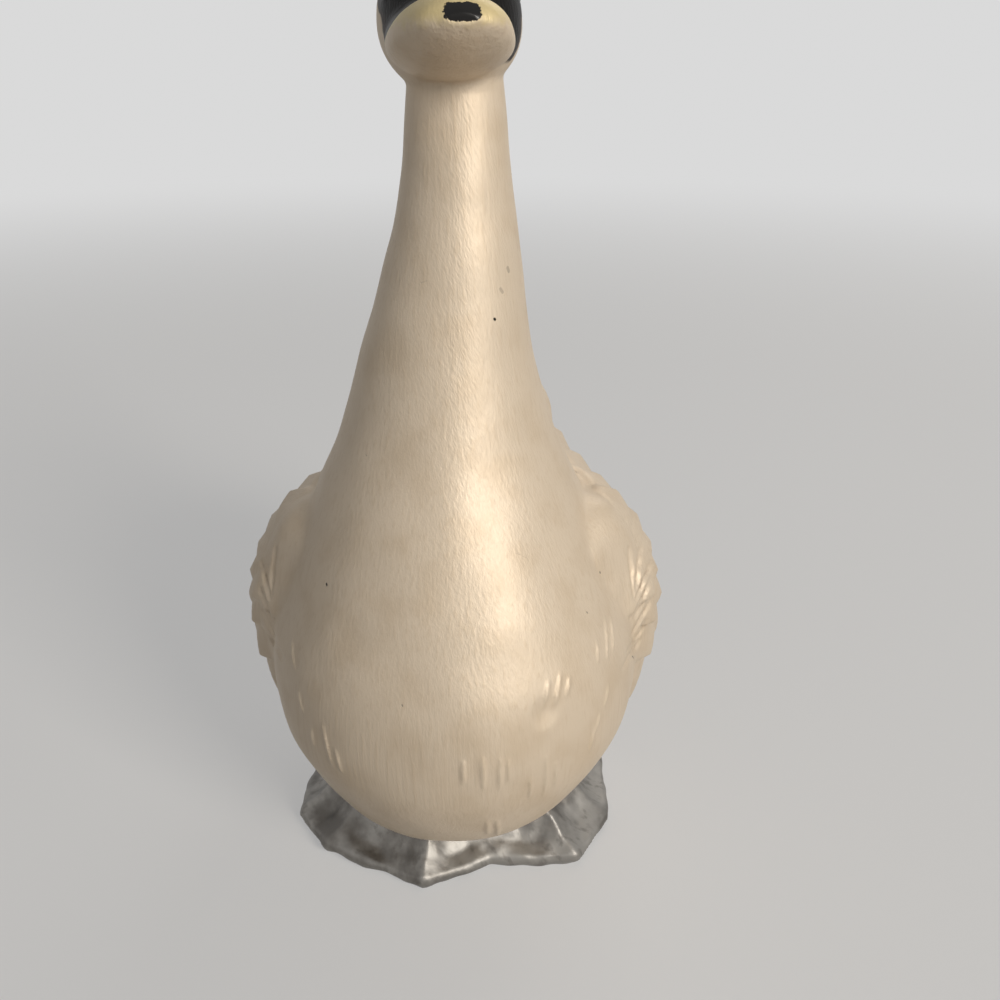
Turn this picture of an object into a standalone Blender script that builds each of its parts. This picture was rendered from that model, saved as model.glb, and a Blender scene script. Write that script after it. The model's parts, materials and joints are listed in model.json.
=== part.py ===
# A swan figurine cast in one piece: tall neck, blunt bill, folded wings with overlapping
# feathers, a short raised tail and a rocky foot.
# The bill points along -Y, up is +Z, and the origin is in the middle of the flat underside.
# All lengths are in metres and all angles in degrees.

import math

import bpy
import numpy as np
from mathutils import Matrix, Vector

# Body and neck, from the foot up. Each row is one level section: height, half width,
# reach to the front, reach to the back, where the widest point lies, sideways
BODY_SECTIONS = (
    (0.0040, 0.0162, 0.0150, 0.0240, 0.0040, 0.0005),
    (0.0090, 0.0226, 0.0238, 0.0350, 0.0045, 0.0005),
    (0.0160, 0.0289, 0.0310, 0.0430, 0.0050, 0.0005),
    (0.0280, 0.0349, 0.0363, 0.0510, 0.0050, 0.0004),
    (0.0420, 0.0346, 0.0360, 0.0540, 0.0045, 0.0002),
    (0.0560, 0.0298, 0.0310, 0.0480, 0.0035, -0.0002),
    (0.0700, 0.0238, 0.0250, 0.0345, 0.0030, -0.0006),
    (0.0820, 0.0187, 0.0195, 0.0225, 0.0020, -0.0006),
    (0.0940, 0.0151, 0.0155, 0.0150, 0.0010, -0.0001),
    (0.1080, 0.0118, 0.0122, 0.0112, 0.0000, 0.0011),
    (0.1220, 0.0092, 0.0096, 0.0088, 0.0000, 0.0021),
)
NECK_TOP_HEIGHT = 0.1400
NECK_TOP_RADIUS = 0.0072
NECK_TOP_SIDEWAYS = 0.0022

# Head and bill. The bill's rows are measured from the middle of the head:
# distance forward, half width, top, bottom
HEAD_ABOVE_NECK = 0.0053
HEAD_SIDEWAYS = 0.0015
HEAD_HALF_WIDTH = 0.0108
HEAD_HALF_LENGTH = 0.0128
HEAD_CROWN = 0.0138
HEAD_CHIN = 0.0096
HEAD_TURN = 8.5
BILL_SECTIONS = (
    (-0.0020, 0.0070, 0.0032, -0.0060),
    (0.0050, 0.0086, 0.0042, -0.0071),
    (0.0110, 0.0090, 0.0042, -0.0071),
    (0.0165, 0.0086, 0.0041, -0.0061),
    (0.0215, 0.0073, 0.0038, -0.0042),
    (0.0250, 0.0052, 0.0031, -0.0020),
)
BILL_SIDEWAYS = -0.0012
BILL_LENGTH = 0.0268
BILL_TIP_HALF_WIDTH = 0.0022
BILL_TIP_TOP = 0.0014
BILL_TIP_THICKNESS = 0.0016
BILL_SEAM_SHARE = 0.42
BILL_ROUNDNESS = 1.0
FOREHEAD_FORWARD = 0.0095
FOREHEAD_ABOVE = 0.0034
FOREHEAD_HALF_LENGTH = 0.0105
FOREHEAD_HALF_WIDTH = 0.0047
FOREHEAD_HALF_HEIGHT = 0.0050
EYE_RADIUS = 0.0017
EYE_FORWARD = 0.0040
EYE_ABOVE = 0.0046
EYE_STANDS_OUT = 0.0007

# Right wing, from the shoulder back to the tip. Each row is one upright section:
# place along the body, sideways, height, half thickness, half height, how far its top leans in
WING_SECTIONS = (
    (-0.0095, 0.0235, 0.0530, 0.0040, 0.0095, 0.00),
    (-0.0010, 0.0240, 0.0458, 0.0118, 0.0216, 0.00),
    (0.0090, 0.0240, 0.0404, 0.0155, 0.0269, 0.06),
    (0.0220, 0.0198, 0.0448, 0.0160, 0.0268, 0.27),
    (0.0340, 0.0160, 0.0505, 0.0128, 0.0235, 0.28),
    (0.0450, 0.0125, 0.0575, 0.0098, 0.0205, 0.22),
    (0.0530, 0.0115, 0.0665, 0.0075, 0.0120, 0.05),
)
WING_TIP_BACK = 0.0580
WING_TIP_HEIGHT = 0.0730
WING_TIP_HALF_THICKNESS = 0.0025
WING_TIP_HALF_HEIGHT = 0.0030
WING_ROUNDNESS = 0.94

# Wing feathers, in rows around the shoulder:
# distance from the shoulder to the root, length, width, how many
SHOULDER_BACK = -0.0040
SHOULDER_HEIGHT = 0.0600
FEATHER_ROWS = (
    (0.0020, 0.0100, 0.0078, 6),
    (0.0090, 0.0112, 0.0086, 9),
    (0.0170, 0.0126, 0.0092, 11),
    (0.0260, 0.0160, 0.0100, 13),
    (0.0370, 0.0270, 0.0104, 16),
)
FEATHER_FAN_FROM = -118.0
FEATHER_FAN_TO = 34.0
FEATHER_RELIEF = 0.0018
FEATHER_ROOT_RELIEF = 0.25
FEATHER_EDGE_DROP = 0.45
FEATHER_TIP_POWER = 6
FEATHER_UPWARD = 0.6
# cosine of the bearing around the wing where the relief starts, and where it is full
FEATHERS_START = -0.1
FEATHERS_FULL = 0.25

# Long feathers of the wing's tip, the highest one first:
# height of the tip, how far back it reaches, sideways
LONG_FEATHER_TIPS = (
    (0.0745, 0.0590, 0.0155),
    (0.0655, 0.0600, 0.0145),
    (0.0565, 0.0575, 0.0150),
)
LONG_FEATHER_LENGTH = 0.0340
LONG_FEATHER_SLOPE = 34.0
LONG_FEATHER_HALF_WIDTH = 0.0058
LONG_FEATHER_HALF_THICKNESS = 0.0034
LONG_FEATHER_INWARD = 0.12
LONG_FEATHER_FACING = (1.0, 0.2, 0.2)

# Tail: a short upturned fan of feathers
TAIL_ROOT_BACK = 0.0360
TAIL_ROOT_HEIGHT = 0.0385
TAIL_LENGTH = 0.0405
TAIL_FEATHER_SPACING = 0.0030
TAIL_FEATHER_HALF_WIDTH = 0.0062
TAIL_FEATHER_HALF_THICKNESS = 0.0038
TAIL_RISE = 24.0
TAIL_FAN = 8.0
TAIL_STEP = 0.0005
TAIL_SHORTENING = 0.00135
TAIL_CUP = 0.08
TAIL_FEATHERS = 5

# Blade of a long feather: its width at the root as a share of the full width, how much
# thinner its tip is, and how blunt its outline and its section are
BLADE_ROOT_WIDTH = 0.7
BLADE_TIP_THINNING = 0.35
BLADE_OUTLINE_POWER = 5
BLADE_SECTION_POWER = 6
BLADE_END = 0.02

# Rocky foot. The corners, seen from above, go round from the back: sideways, backwards
FOOT_CORNERS = (
    (0.0262, 0.0250),
    (0.0312, 0.0085),
    (0.0309, -0.0095),
    (0.0241, -0.0214),
    (0.0072, -0.0219),
    (-0.0056, -0.0278),
    (-0.0246, -0.0182),
    (-0.0320, -0.0085),
    (-0.0303, 0.0115),
    (-0.0233, 0.0275),
    (-0.0060, 0.0340),
    (0.0120, 0.0325),
)
FOOT_RIM_HEIGHT = 0.0034
FOOT_HEIGHT = 0.0118
FOOT_HOLLOW = 0.0020
FOOT_UNDERCUT = 0.0004
FOOT_BELOW_GROUND = 0.0030
FOOT_RIDGE_POWER = 0.8
# share of the outline's radius, share of the rim's height, share of the full height,
# how deep the hollows between the ridges are
FOOT_LEVELS = (
    (0.96, 0.00, 0.00, 0.0),
    (1.00, 0.40, 0.00, 0.0),
    (0.985, 0.85, 0.00, 0.2),
    (0.94, 1.15, 0.00, 0.5),
    (0.87, 1.20, 0.12, 0.9),
    (0.78, 0.80, 0.52, 1.0),
    (0.62, 0.00, 1.00, 0.9),
    (0.40, 0.00, 1.04, 0.3),
)
FOOT_BOTTOM_SHARE = 0.90

# Mesh fineness
RINGS_PER_LOFT = 72
POINTS_PER_RING = 96
RINGS_PER_BALL = 24
POINTS_PER_BALL_RING = 40
CAST_GRAIN = 0.0008
CAST_SOFTENING = 3
CAST_TRIANGLES = 11400
GROUND_SIZE = 0.4

PAINT_COLOUR = (0.80, 0.74, 0.64, 1)
PAINT_ROUGHNESS = 0.35


# Smooth curve through the rows of a table, read at evenly spaced places
def read_between(rows, count):
    rows = np.array(rows, dtype=float)
    padded = np.vstack([2 * rows[0] - rows[1], rows, 2 * rows[-1] - rows[-2]])
    places = np.linspace(0, len(rows) - 1, count)
    span = np.minimum(places.astype(int), len(rows) - 2)
    t = (places - span)[:, None]
    before, start, end, after = (padded[span + k] for k in range(4))
    slope_in = (end - before) / 2
    slope_out = (after - start) / 2
    return (
        start * (2 * t**3 - 3 * t**2 + 1)
        + slope_in * (t**3 - 2 * t**2 + t)
        + end * (3 * t**2 - 2 * t**3)
        + slope_out * (t**3 - t**2)
    )


# Eases from 0 to 1 as value goes from low to high
def ease(value, low, high):
    t = np.clip((value - low) / (high - low), 0, 1)
    return t * t * (3 - 2 * t)


# Makes a sine or cosine blunter, and so a section fuller, where power is below 1
def blunt(value, power):
    return np.sign(value) * np.abs(value) ** power


# Closed mesh over a stack of rings, with a point in the middle of each end
def loft(name, rings):
    rings = np.asarray(rings)
    stack, around = rings.shape[:2]
    points = list(rings.reshape(-1, 3)) + [rings[0].mean(0), rings[-1].mean(0)]
    faces = []
    for i in range(stack - 1):
        for j in range(around):
            k = (j + 1) % around
            faces.append((i * around + j, i * around + k, (i + 1) * around + k, (i + 1) * around + j))
    last = (stack - 1) * around
    for j in range(around):
        k = (j + 1) % around
        faces.append((stack * around, k, j))
        faces.append((stack * around + 1, last + j, last + k))
    mesh = bpy.data.meshes.new(name)
    mesh.from_pydata([tuple(p) for p in points], [], faces)
    mesh.update()
    return mesh


def body_mesh():
    radius = NECK_TOP_RADIUS
    rows = BODY_SECTIONS + ((NECK_TOP_HEIGHT, radius, radius, radius, 0.0, NECK_TOP_SIDEWAYS),)
    angle = np.linspace(0, 2 * math.pi, POINTS_PER_RING, endpoint=False)
    rings = []
    for height, half_width, front, back, middle, sideways in read_between(rows, RINGS_PER_LOFT):
        x = sideways + half_width * np.cos(angle)
        reach = np.where(np.sin(angle) < 0, middle + front, back - middle)
        y = middle + reach * np.sin(angle)
        rings.append(np.stack([x, y, np.full_like(x, height)], axis=1))
    return loft("body", rings)


# From the head's own frame, with x forward, to the figure's
def head_place():
    middle = Matrix.Translation((HEAD_SIDEWAYS, 0, NECK_TOP_HEIGHT + HEAD_ABOVE_NECK))
    return middle @ Matrix.Rotation(math.radians(HEAD_TURN - 90), 4, "Z")


# Round form whose lower half has a depth of its own
def ball(name, middle, radii, depth):
    down = np.linspace(0, math.pi, RINGS_PER_BALL + 2)[1:-1]
    around = np.linspace(0, 2 * math.pi, POINTS_PER_BALL_RING, endpoint=False)
    rings = []
    for angle in down:
        x = middle[0] + radii[0] * math.sin(angle) * np.cos(around)
        y = middle[1] + radii[1] * math.sin(angle) * np.sin(around)
        half = depth if angle < math.pi / 2 else radii[2]
        z = np.full_like(x, middle[2] - half * math.cos(angle))
        rings.append(np.stack([x, y, z], axis=1))
    return loft(name, rings)


def skull_mesh():
    mesh = ball("skull", (0, 0, 0), (HEAD_HALF_LENGTH, HEAD_HALF_WIDTH, HEAD_CROWN), HEAD_CHIN)
    mesh.transform(head_place())
    return mesh


# The bill is an arch above and a fuller curve below, and it carries on into the throat
def bill_mesh():
    tip = (BILL_LENGTH, BILL_TIP_HALF_WIDTH, BILL_TIP_TOP, BILL_TIP_TOP - BILL_TIP_THICKNESS)
    rows = BILL_SECTIONS + (tip,)
    angle = np.linspace(0, 2 * math.pi, POINTS_PER_RING, endpoint=False)
    rings = []
    for forward, half_width, top, bottom in read_between(rows, RINGS_PER_LOFT):
        seam = bottom + (top - bottom) * BILL_SEAM_SHARE
        rise = np.where(np.sin(angle) > 0, top - seam, seam - bottom)
        y = BILL_SIDEWAYS + half_width * np.cos(angle)
        z = seam + rise * blunt(np.sin(angle), BILL_ROUNDNESS)
        rings.append(np.stack([np.full_like(y, forward), y, z], axis=1))
    mesh = loft("bill", rings)
    mesh.transform(head_place())
    return mesh


# Slope from the forehead down onto the bill
def forehead_mesh():
    middle = (FOREHEAD_FORWARD, BILL_SIDEWAYS, FOREHEAD_ABOVE)
    radii = (FOREHEAD_HALF_LENGTH, FOREHEAD_HALF_WIDTH, FOREHEAD_HALF_HEIGHT)
    mesh = ball("forehead", middle, radii, FOREHEAD_HALF_HEIGHT)
    mesh.transform(head_place())
    return mesh


def eye_mesh(side):
    along = EYE_FORWARD / HEAD_HALF_LENGTH
    up = EYE_ABOVE / HEAD_CROWN
    out = HEAD_HALF_WIDTH * math.sqrt(1 - along**2 - up**2)
    middle = (EYE_FORWARD, side * (out + EYE_STANDS_OUT - EYE_RADIUS), EYE_ABOVE)
    mesh = ball("eye", middle, (EYE_RADIUS, EYE_RADIUS, EYE_RADIUS), EYE_RADIUS)
    mesh.transform(head_place())
    return mesh


# How far the feathers stand out at each place on the side of the wing
def feather_height(back, height):
    total = np.zeros_like(back)
    for row, (reach, length, width, count) in enumerate(FEATHER_ROWS):
        for number in range(count):
            share = (number + 0.25 + 0.5 * (row % 2)) / count
            turn = math.radians(FEATHER_FAN_FROM + share * (FEATHER_FAN_TO - FEATHER_FAN_FROM))
            from_y = back - SHOULDER_BACK
            from_z = height - SHOULDER_HEIGHT
            along = from_y * math.cos(turn) + from_z * math.sin(turn) - reach
            across = from_z * math.cos(turn) - from_y * math.sin(turn)
            part = np.clip(along / length, 0, 1)
            outline = width / 2 * np.sqrt(np.clip(1 - part**FEATHER_TIP_POWER, 0, 1))
            inside = (along > 0) & (along < length) & (np.abs(across) < outline)
            crown = 1 - FEATHER_EDGE_DROP * (across / np.maximum(outline, 1e-6)) ** 2
            thickness = FEATHER_ROOT_RELIEF + (1 - FEATHER_ROOT_RELIEF) * part
            rise = FEATHER_RELIEF * thickness * crown
            total = np.maximum(total, np.where(inside, rise, 0))
    return total


def wing_mesh(side):
    tip_size = (WING_TIP_HALF_THICKNESS, WING_TIP_HALF_HEIGHT, 0.0)
    rows = WING_SECTIONS + ((WING_TIP_BACK, WING_SECTIONS[-1][1], WING_TIP_HEIGHT) + tip_size,)
    angle = np.linspace(0, 2 * math.pi, 2 * POINTS_PER_RING, endpoint=False)
    rings = []
    for back, sideways, height, thick, tall, lean_in in read_between(rows, 2 * RINGS_PER_LOFT):
        x = sideways + thick * blunt(np.cos(angle), WING_ROUNDNESS) - lean_in * tall * np.sin(angle)
        z = height + tall * np.sin(angle)
        y = np.full_like(x, back)
        lift = feather_height(y, z) * ease(np.cos(angle), FEATHERS_START, FEATHERS_FULL)
        x += lift * np.cos(angle)
        z += lift * np.sin(angle) * FEATHER_UPWARD
        rings.append(np.stack([side * x, y, z], axis=1))
    return loft("wing", rings if side < 0 else [ring[::-1] for ring in rings])


# One long flat feather from its root to its rounded tip, its flat side facing outward
def feather_mesh(root, tip, outward, half_width, half_thickness):
    root = Vector(root)
    ahead = (Vector(tip) - root).normalized()
    across = ahead.cross(Vector(outward)).normalized()
    up = across.cross(ahead)
    angle = np.linspace(0, 2 * math.pi, POINTS_PER_RING, endpoint=False)
    rings = []
    for share in np.sin(np.linspace(BLADE_END, math.pi / 2 - BLADE_END, RINGS_PER_LOFT // 2)):
        width_share = BLADE_ROOT_WIDTH + (1 - BLADE_ROOT_WIDTH) * share
        wide = half_width * math.sqrt(1 - share**BLADE_OUTLINE_POWER) * width_share
        thin = half_thickness * math.sqrt(1 - share**BLADE_SECTION_POWER) * (1 - BLADE_TIP_THINNING * share)
        y = wide * np.cos(angle)
        z = thin * np.sin(angle)
        rings.append(np.stack([np.full_like(y, share * (Vector(tip) - root).length), y, z], axis=1))
    mesh = loft("feather", rings)
    place = Matrix((ahead, across, up)).transposed().to_4x4()
    mesh.transform(Matrix.Translation(root) @ place)
    return mesh


def wing_feathers(side):
    meshes = []
    slope = math.radians(LONG_FEATHER_SLOPE)
    for height, back, sideways in LONG_FEATHER_TIPS:
        tip = Vector((side * sideways, back, height))
        ahead = Vector((-side * LONG_FEATHER_INWARD, math.cos(slope), math.sin(slope))).normalized()
        root = tip - LONG_FEATHER_LENGTH * ahead
        outward = Vector(LONG_FEATHER_FACING) * Vector((side, 1, 1))
        size = (LONG_FEATHER_HALF_WIDTH, LONG_FEATHER_HALF_THICKNESS)
        meshes.append(feather_mesh(root, tip, outward, *size))
    return meshes


def tail_feathers():
    meshes = []
    rise = math.radians(TAIL_RISE)
    for number in range(TAIL_FEATHERS):
        place = number - (TAIL_FEATHERS - 1) / 2
        turn = math.radians(TAIL_FAN * place)
        ahead = Vector((math.sin(turn), math.cos(turn) * math.cos(rise), math.cos(turn) * math.sin(rise)))
        below = TAIL_STEP * abs(place)
        root = Vector((TAIL_FEATHER_SPACING * place, TAIL_ROOT_BACK, TAIL_ROOT_HEIGHT - below))
        tip = root + (TAIL_LENGTH - TAIL_SHORTENING * abs(place)) * ahead
        outward = (TAIL_CUP * place, -math.sin(rise), math.cos(rise))
        size = (TAIL_FEATHER_HALF_WIDTH, TAIL_FEATHER_HALF_THICKNESS)
        meshes.append(feather_mesh(root, tip, outward, *size))
    return meshes


# Radius of the foot's outline at an angle, along straight edges from corner to corner
def foot_radius(angle):
    corners = [complex(x, y) for x, y in FOOT_CORNERS]
    direction = complex(math.cos(angle), math.sin(angle))
    for start, end in zip(corners, corners[1:] + corners[:1]):
        a = start / direction
        b = end / direction
        if a.imag * b.imag <= 0 and a.real + b.real > 0 and a.imag != b.imag:
            share = a.imag / (a.imag - b.imag)
            if a.real + share * (b.real - a.real) > 0:
                return a.real + share * (b.real - a.real)
    return abs(corners[0])


# 1 at a corner's ridge, falling to 0 halfway to the next one
def foot_ridge(angle):
    bearings = sorted(math.atan2(y, x) % (2 * math.pi) for x, y in FOOT_CORNERS)
    bearings = [bearings[-1] - 2 * math.pi] + bearings + [bearings[0] + 2 * math.pi]
    for low, high in zip(bearings, bearings[1:]):
        if low <= angle <= high:
            return abs(2 * (angle - low) / (high - low) - 1)
    return 1.0


def foot_mesh():
    angles = np.linspace(0, 2 * math.pi, 4 * POINTS_PER_RING, endpoint=False)
    radius = np.array([foot_radius(a) for a in angles])
    ridge = np.array([foot_ridge(a) for a in angles])
    levels = [(FOOT_BOTTOM_SHARE, -FOOT_BELOW_GROUND, 0.0)]
    for share, of_rim, of_full, hollow in FOOT_LEVELS:
        levels.append((share, of_rim * FOOT_RIM_HEIGHT + of_full * FOOT_HEIGHT, hollow))
    rings = []
    for share, height, hollow in levels:
        inset = share * radius - (FOOT_UNDERCUT if height <= 0 else 0)
        z = height - FOOT_HOLLOW * hollow * (1 - ridge) ** FOOT_RIDGE_POWER
        rings.append(np.stack([inset * np.cos(angles), inset * np.sin(angles), z], axis=1))
    return loft("foot", rings)


def finish_material():
    material = bpy.data.materials.new("pearl_paint")
    material.use_nodes = True
    shader = material.node_tree.nodes["Principled BSDF"]
    shader.inputs["Base Color"].default_value = PAINT_COLOUR
    shader.inputs["Roughness"].default_value = PAINT_ROUGHNESS
    shader.inputs["Metallic"].default_value = 0.0
    return material


# Joins the forms into one closed skin, softens where they meet, and thins the mesh
def cast(meshes):
    joined = bpy.data.meshes.new("swan_figurine")
    points = []
    faces = []
    for mesh in meshes:
        start = len(points)
        points += [tuple(v.co) for v in mesh.vertices]
        faces += [tuple(start + i for i in p.vertices) for p in mesh.polygons]
        bpy.data.meshes.remove(mesh)
    joined.from_pydata(points, [], faces)
    figure = bpy.data.objects.new("swan_figurine", joined)
    bpy.context.collection.objects.link(figure)

    skin = figure.modifiers.new("One skin", "REMESH")
    skin.mode = "VOXEL"
    skin.voxel_size = CAST_GRAIN
    soft = figure.modifiers.new("Soft joins", "SMOOTH")
    soft.iterations = CAST_SOFTENING
    return figure


# Cuts off what lies below the ground, for a flat underside
def cut_flat(figure):
    mesh = bpy.data.meshes.new("ground")
    plan = [(-1, -1), (1, -1), (1, 1), (-1, 1)]
    corners = [(x * GROUND_SIZE, y * GROUND_SIZE, z) for z in (-GROUND_SIZE, 0) for x, y in plan]
    faces = [(3, 2, 1, 0), (4, 5, 6, 7), (0, 1, 5, 4), (1, 2, 6, 5), (2, 3, 7, 6), (3, 0, 4, 7)]
    mesh.from_pydata(corners, [], faces)
    ground = bpy.data.objects.new("ground", mesh)
    bpy.context.collection.objects.link(ground)
    ground.hide_render = True
    ground.display_type = "WIRE"
    cut = figure.modifiers.new("Flat underside", "BOOLEAN")
    cut.operation = "DIFFERENCE"
    cut.object = ground


# Fewer, larger triangles where the surface is smooth
def thin_out(figure):
    skin = figure.evaluated_get(bpy.context.evaluated_depsgraph_get()).data
    skin.calc_loop_triangles()
    count = len(skin.loop_triangles)
    thin = figure.modifiers.new("Fewer faces", "DECIMATE")
    thin.ratio = min(1.0, CAST_TRIANGLES / count)
    thin.use_collapse_triangulate = True


def main():
    for old in list(bpy.data.objects):
        bpy.data.objects.remove(old, do_unlink=True)
    figure = cast(
        [
            body_mesh(),
            skull_mesh(),
            bill_mesh(),
            forehead_mesh(),
            eye_mesh(1),
            eye_mesh(-1),
            wing_mesh(1),
            wing_mesh(-1),
            foot_mesh(),
        ]
        + wing_feathers(1)
        + wing_feathers(-1)
        + tail_feathers()
    )
    thin_out(figure)
    cut_flat(figure)
    figure.data.materials.append(finish_material())
    figure.data.shade_smooth()


main()
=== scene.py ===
# Looks of a cast and painted swan figurine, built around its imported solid.
# Lengths are in metres and angles in degrees. The bill points along -Y and up is +Z.

import json
import math
from functools import partial

import bmesh
import bpy
import numpy as np
from mathutils import Matrix, Vector, noise
from mathutils.bvhtree import BVHTree

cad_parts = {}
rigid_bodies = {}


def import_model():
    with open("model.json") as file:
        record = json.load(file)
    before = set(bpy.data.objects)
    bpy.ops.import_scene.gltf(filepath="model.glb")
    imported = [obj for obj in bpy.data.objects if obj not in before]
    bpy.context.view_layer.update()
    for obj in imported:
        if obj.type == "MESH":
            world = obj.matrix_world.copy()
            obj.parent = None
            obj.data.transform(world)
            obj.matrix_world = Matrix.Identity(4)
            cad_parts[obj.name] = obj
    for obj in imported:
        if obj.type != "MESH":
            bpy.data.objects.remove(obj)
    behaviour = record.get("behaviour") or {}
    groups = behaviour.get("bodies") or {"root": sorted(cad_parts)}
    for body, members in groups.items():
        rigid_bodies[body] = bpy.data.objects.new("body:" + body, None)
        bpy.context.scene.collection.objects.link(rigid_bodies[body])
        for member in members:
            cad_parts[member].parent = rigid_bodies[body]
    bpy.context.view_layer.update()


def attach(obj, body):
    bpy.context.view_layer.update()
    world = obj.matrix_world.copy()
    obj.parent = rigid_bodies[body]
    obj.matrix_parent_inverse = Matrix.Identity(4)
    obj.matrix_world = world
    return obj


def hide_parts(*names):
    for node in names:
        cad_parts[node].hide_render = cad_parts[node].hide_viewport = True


for old in list(bpy.data.objects):
    bpy.data.objects.remove(old, do_unlink=True)

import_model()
scene = bpy.context.scene
print("frame loaded")


# Camera, at the photograph's own place
camera = {
    "place": (0.009, -0.166, 0.143),
    "lookDown": 24.5,
    "sensor": 36.0,
    "lens": 36.0,
    "imageSize": 1000,
}

lens = bpy.data.cameras.new("camera")
lens.sensor_fit = "HORIZONTAL"
lens.sensor_width = camera["sensor"]
lens.lens = camera["lens"]
lens.clip_start = 0.01
eyePoint = bpy.data.objects.new("camera", lens)
eyePoint.location = camera["place"]
eyePoint.rotation_euler = (math.radians(90 - camera["lookDown"]), 0, 0)
scene.collection.objects.link(eyePoint)
scene.camera = eyePoint


# Ray from the camera through a pixel of the photograph
def pixelRay(x, y):
    half = camera["imageSize"] / 2
    spread = camera["sensor"] / 2 / camera["lens"]
    turned = eyePoint.rotation_euler.to_matrix()
    slant = Vector(((x - half) / half * spread, (half - y) / half * spread, -1))
    return Vector(camera["place"]), turned @ slant


# Helpers for node trees. A socket knows the tree that it belongs to.
def feed(socket, value):
    if isinstance(value, bpy.types.Node):
        value = value.outputs[0]
    if isinstance(value, bpy.types.NodeSocket):
        socket.id_data.links.new(value, socket)
    else:
        socket.default_value = value


def addNode(tree, kind, inputs=None, **settings):
    made = tree.nodes.new(kind)
    for name, value in settings.items():
        setattr(made, name, value)
    for key, value in (inputs or {}).items():
        feed(made.inputs[key], value)
    return made


def treeOf(values):
    return next(value.id_data for value in values if isinstance(value, bpy.types.NodeSocket))


def calc(operation, *values):
    made = addNode(treeOf(values), "ShaderNodeMath", dict(enumerate(values)), operation=operation)
    return made.outputs[0]


plus, minus, times, timesPlus, greater, positive = (
    partial(calc, name) for name in ("ADD", "SUBTRACT", "MULTIPLY", "MULTIPLY_ADD", "MAXIMUM", "ABSOLUTE"))


def both(*masks):  # the product of several masks
    result = masks[0]
    for other in masks[1:]:
        result = times(result, other)
    return result


def blendNumber(share, first, second):
    made = addNode(share.id_data, "ShaderNodeMix", {0: share, 2: first, 3: second}, data_type="FLOAT")
    return made.outputs[0]


def blendColour(share, first, second):
    made = addNode(share.id_data, "ShaderNodeMix", {0: share, 6: first, 7: second}, data_type="RGBA")
    return made.outputs[2]


# 0 below low and 1 above high, with a soft step between
def softStep(value, low, high, start=0.0, end=1.0):
    made = addNode(value.id_data, "ShaderNodeMapRange", {0: value, 1: low, 2: high, 3: start, 4: end},
                   interpolation_type="SMOOTHSTEP")
    return made.outputs[0]


# A colour laid over the base where a value rises from low to high, up to a share
def tint(base, value, span, colour):
    low, high, share = span
    return blendColour(softStep(value, low, high, 0.0, share), base, colour)


def noiseAt(where, scale, detail, roughness=0.5):
    made = addNode(where.id_data, "ShaderNodeTexNoise", {
        "Vector": where, "Scale": scale, "Detail": detail, "Roughness": roughness})
    return made.outputs["Fac"]


def vectorCalc(operation, *values):
    made = addNode(treeOf(values), "ShaderNodeVectorMath", dict(enumerate(values)), operation=operation)
    return made.outputs["Value" if operation in ("DOT_PRODUCT", "DISTANCE", "LENGTH") else "Vector"]


def scaled(vector, factor):
    made = addNode(vector.id_data, "ShaderNodeVectorMath", {0: vector, "Scale": factor}, operation="SCALE")
    return made.outputs[0]


def split(vector):
    return addNode(vector.id_data, "ShaderNodeSeparateXYZ", {0: vector}).outputs


def vectorOf(tree, x, y, z):
    return addNode(tree, "ShaderNodeCombineXYZ", {"X": x, "Y": y, "Z": z}).outputs[0]


# A node group with named inputs, listed by kind, and one output
def newGroup(name, treeKind, inputs, output):
    tree = bpy.data.node_groups.new(name, treeKind + "NodeTree")
    for kind, names in inputs:
        for each in names:
            tree.interface.new_socket(each, in_out="INPUT", socket_type="NodeSocket" + kind)
    kind, outputName = output
    tree.interface.new_socket(outputName, in_out="OUTPUT", socket_type="NodeSocket" + kind)
    return tree, addNode(tree, "NodeGroupInput").outputs


def shapeOf(tree, thing):
    made = addNode(tree, "GeometryNodeObjectInfo", {"Object": thing}, transform_space="ORIGINAL")
    return made.outputs["Geometry"]


def named(tree, name, kind="FLOAT"):
    made = addNode(tree, "GeometryNodeInputNamedAttribute", {"Name": name}, data_type=kind)
    return made.outputs["Attribute"]


# The end of each geometry tree: real geometry, painted
def endTree(tree, geometry, paint):
    real = addNode(tree, "GeometryNodeRealizeInstances", {0: geometry})
    painted = addNode(tree, "GeometryNodeSetMaterial", {"Geometry": real, "Material": paint})
    addNode(tree, "NodeGroupOutput", {0: painted})
    return tree


def rgb(red, green, blue):
    def linear(value):
        value /= 255
        return value / 12.92 if value <= 0.04045 else ((value + 0.055) / 1.055) ** 2.4
    return (linear(red), linear(green), linear(blue), 1.0)


# Helpers for forms
def readBetween(rows, count):
    rows = np.array(rows, dtype=float)
    padded = np.vstack([2 * rows[0] - rows[1], rows, 2 * rows[-1] - rows[-2]])
    places = np.linspace(0, len(rows) - 1, count)
    span = np.minimum(places.astype(int), len(rows) - 2)
    t = (places - span)[:, None]
    before, start, end, after = (padded[span + k] for k in range(4))
    return (start * (2 * t**3 - 3 * t**2 + 1) + (end - before) / 2 * (t**3 - 2 * t**2 + t)
            + end * (3 * t**2 - 2 * t**3) + (after - start) / 2 * (t**3 - t**2))


def ease(value, low, high):
    t = np.clip((value - low) / (high - low), 0, 1)
    return t * t * (3 - 2 * t)


# Makes a sine or cosine blunter, and so a section fuller, where power is below 1
def blunt(value, power):
    return np.sign(value) * np.abs(value) ** power


def fullTurn(count):
    return np.linspace(0, 2 * math.pi, count, endpoint=False)


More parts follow.
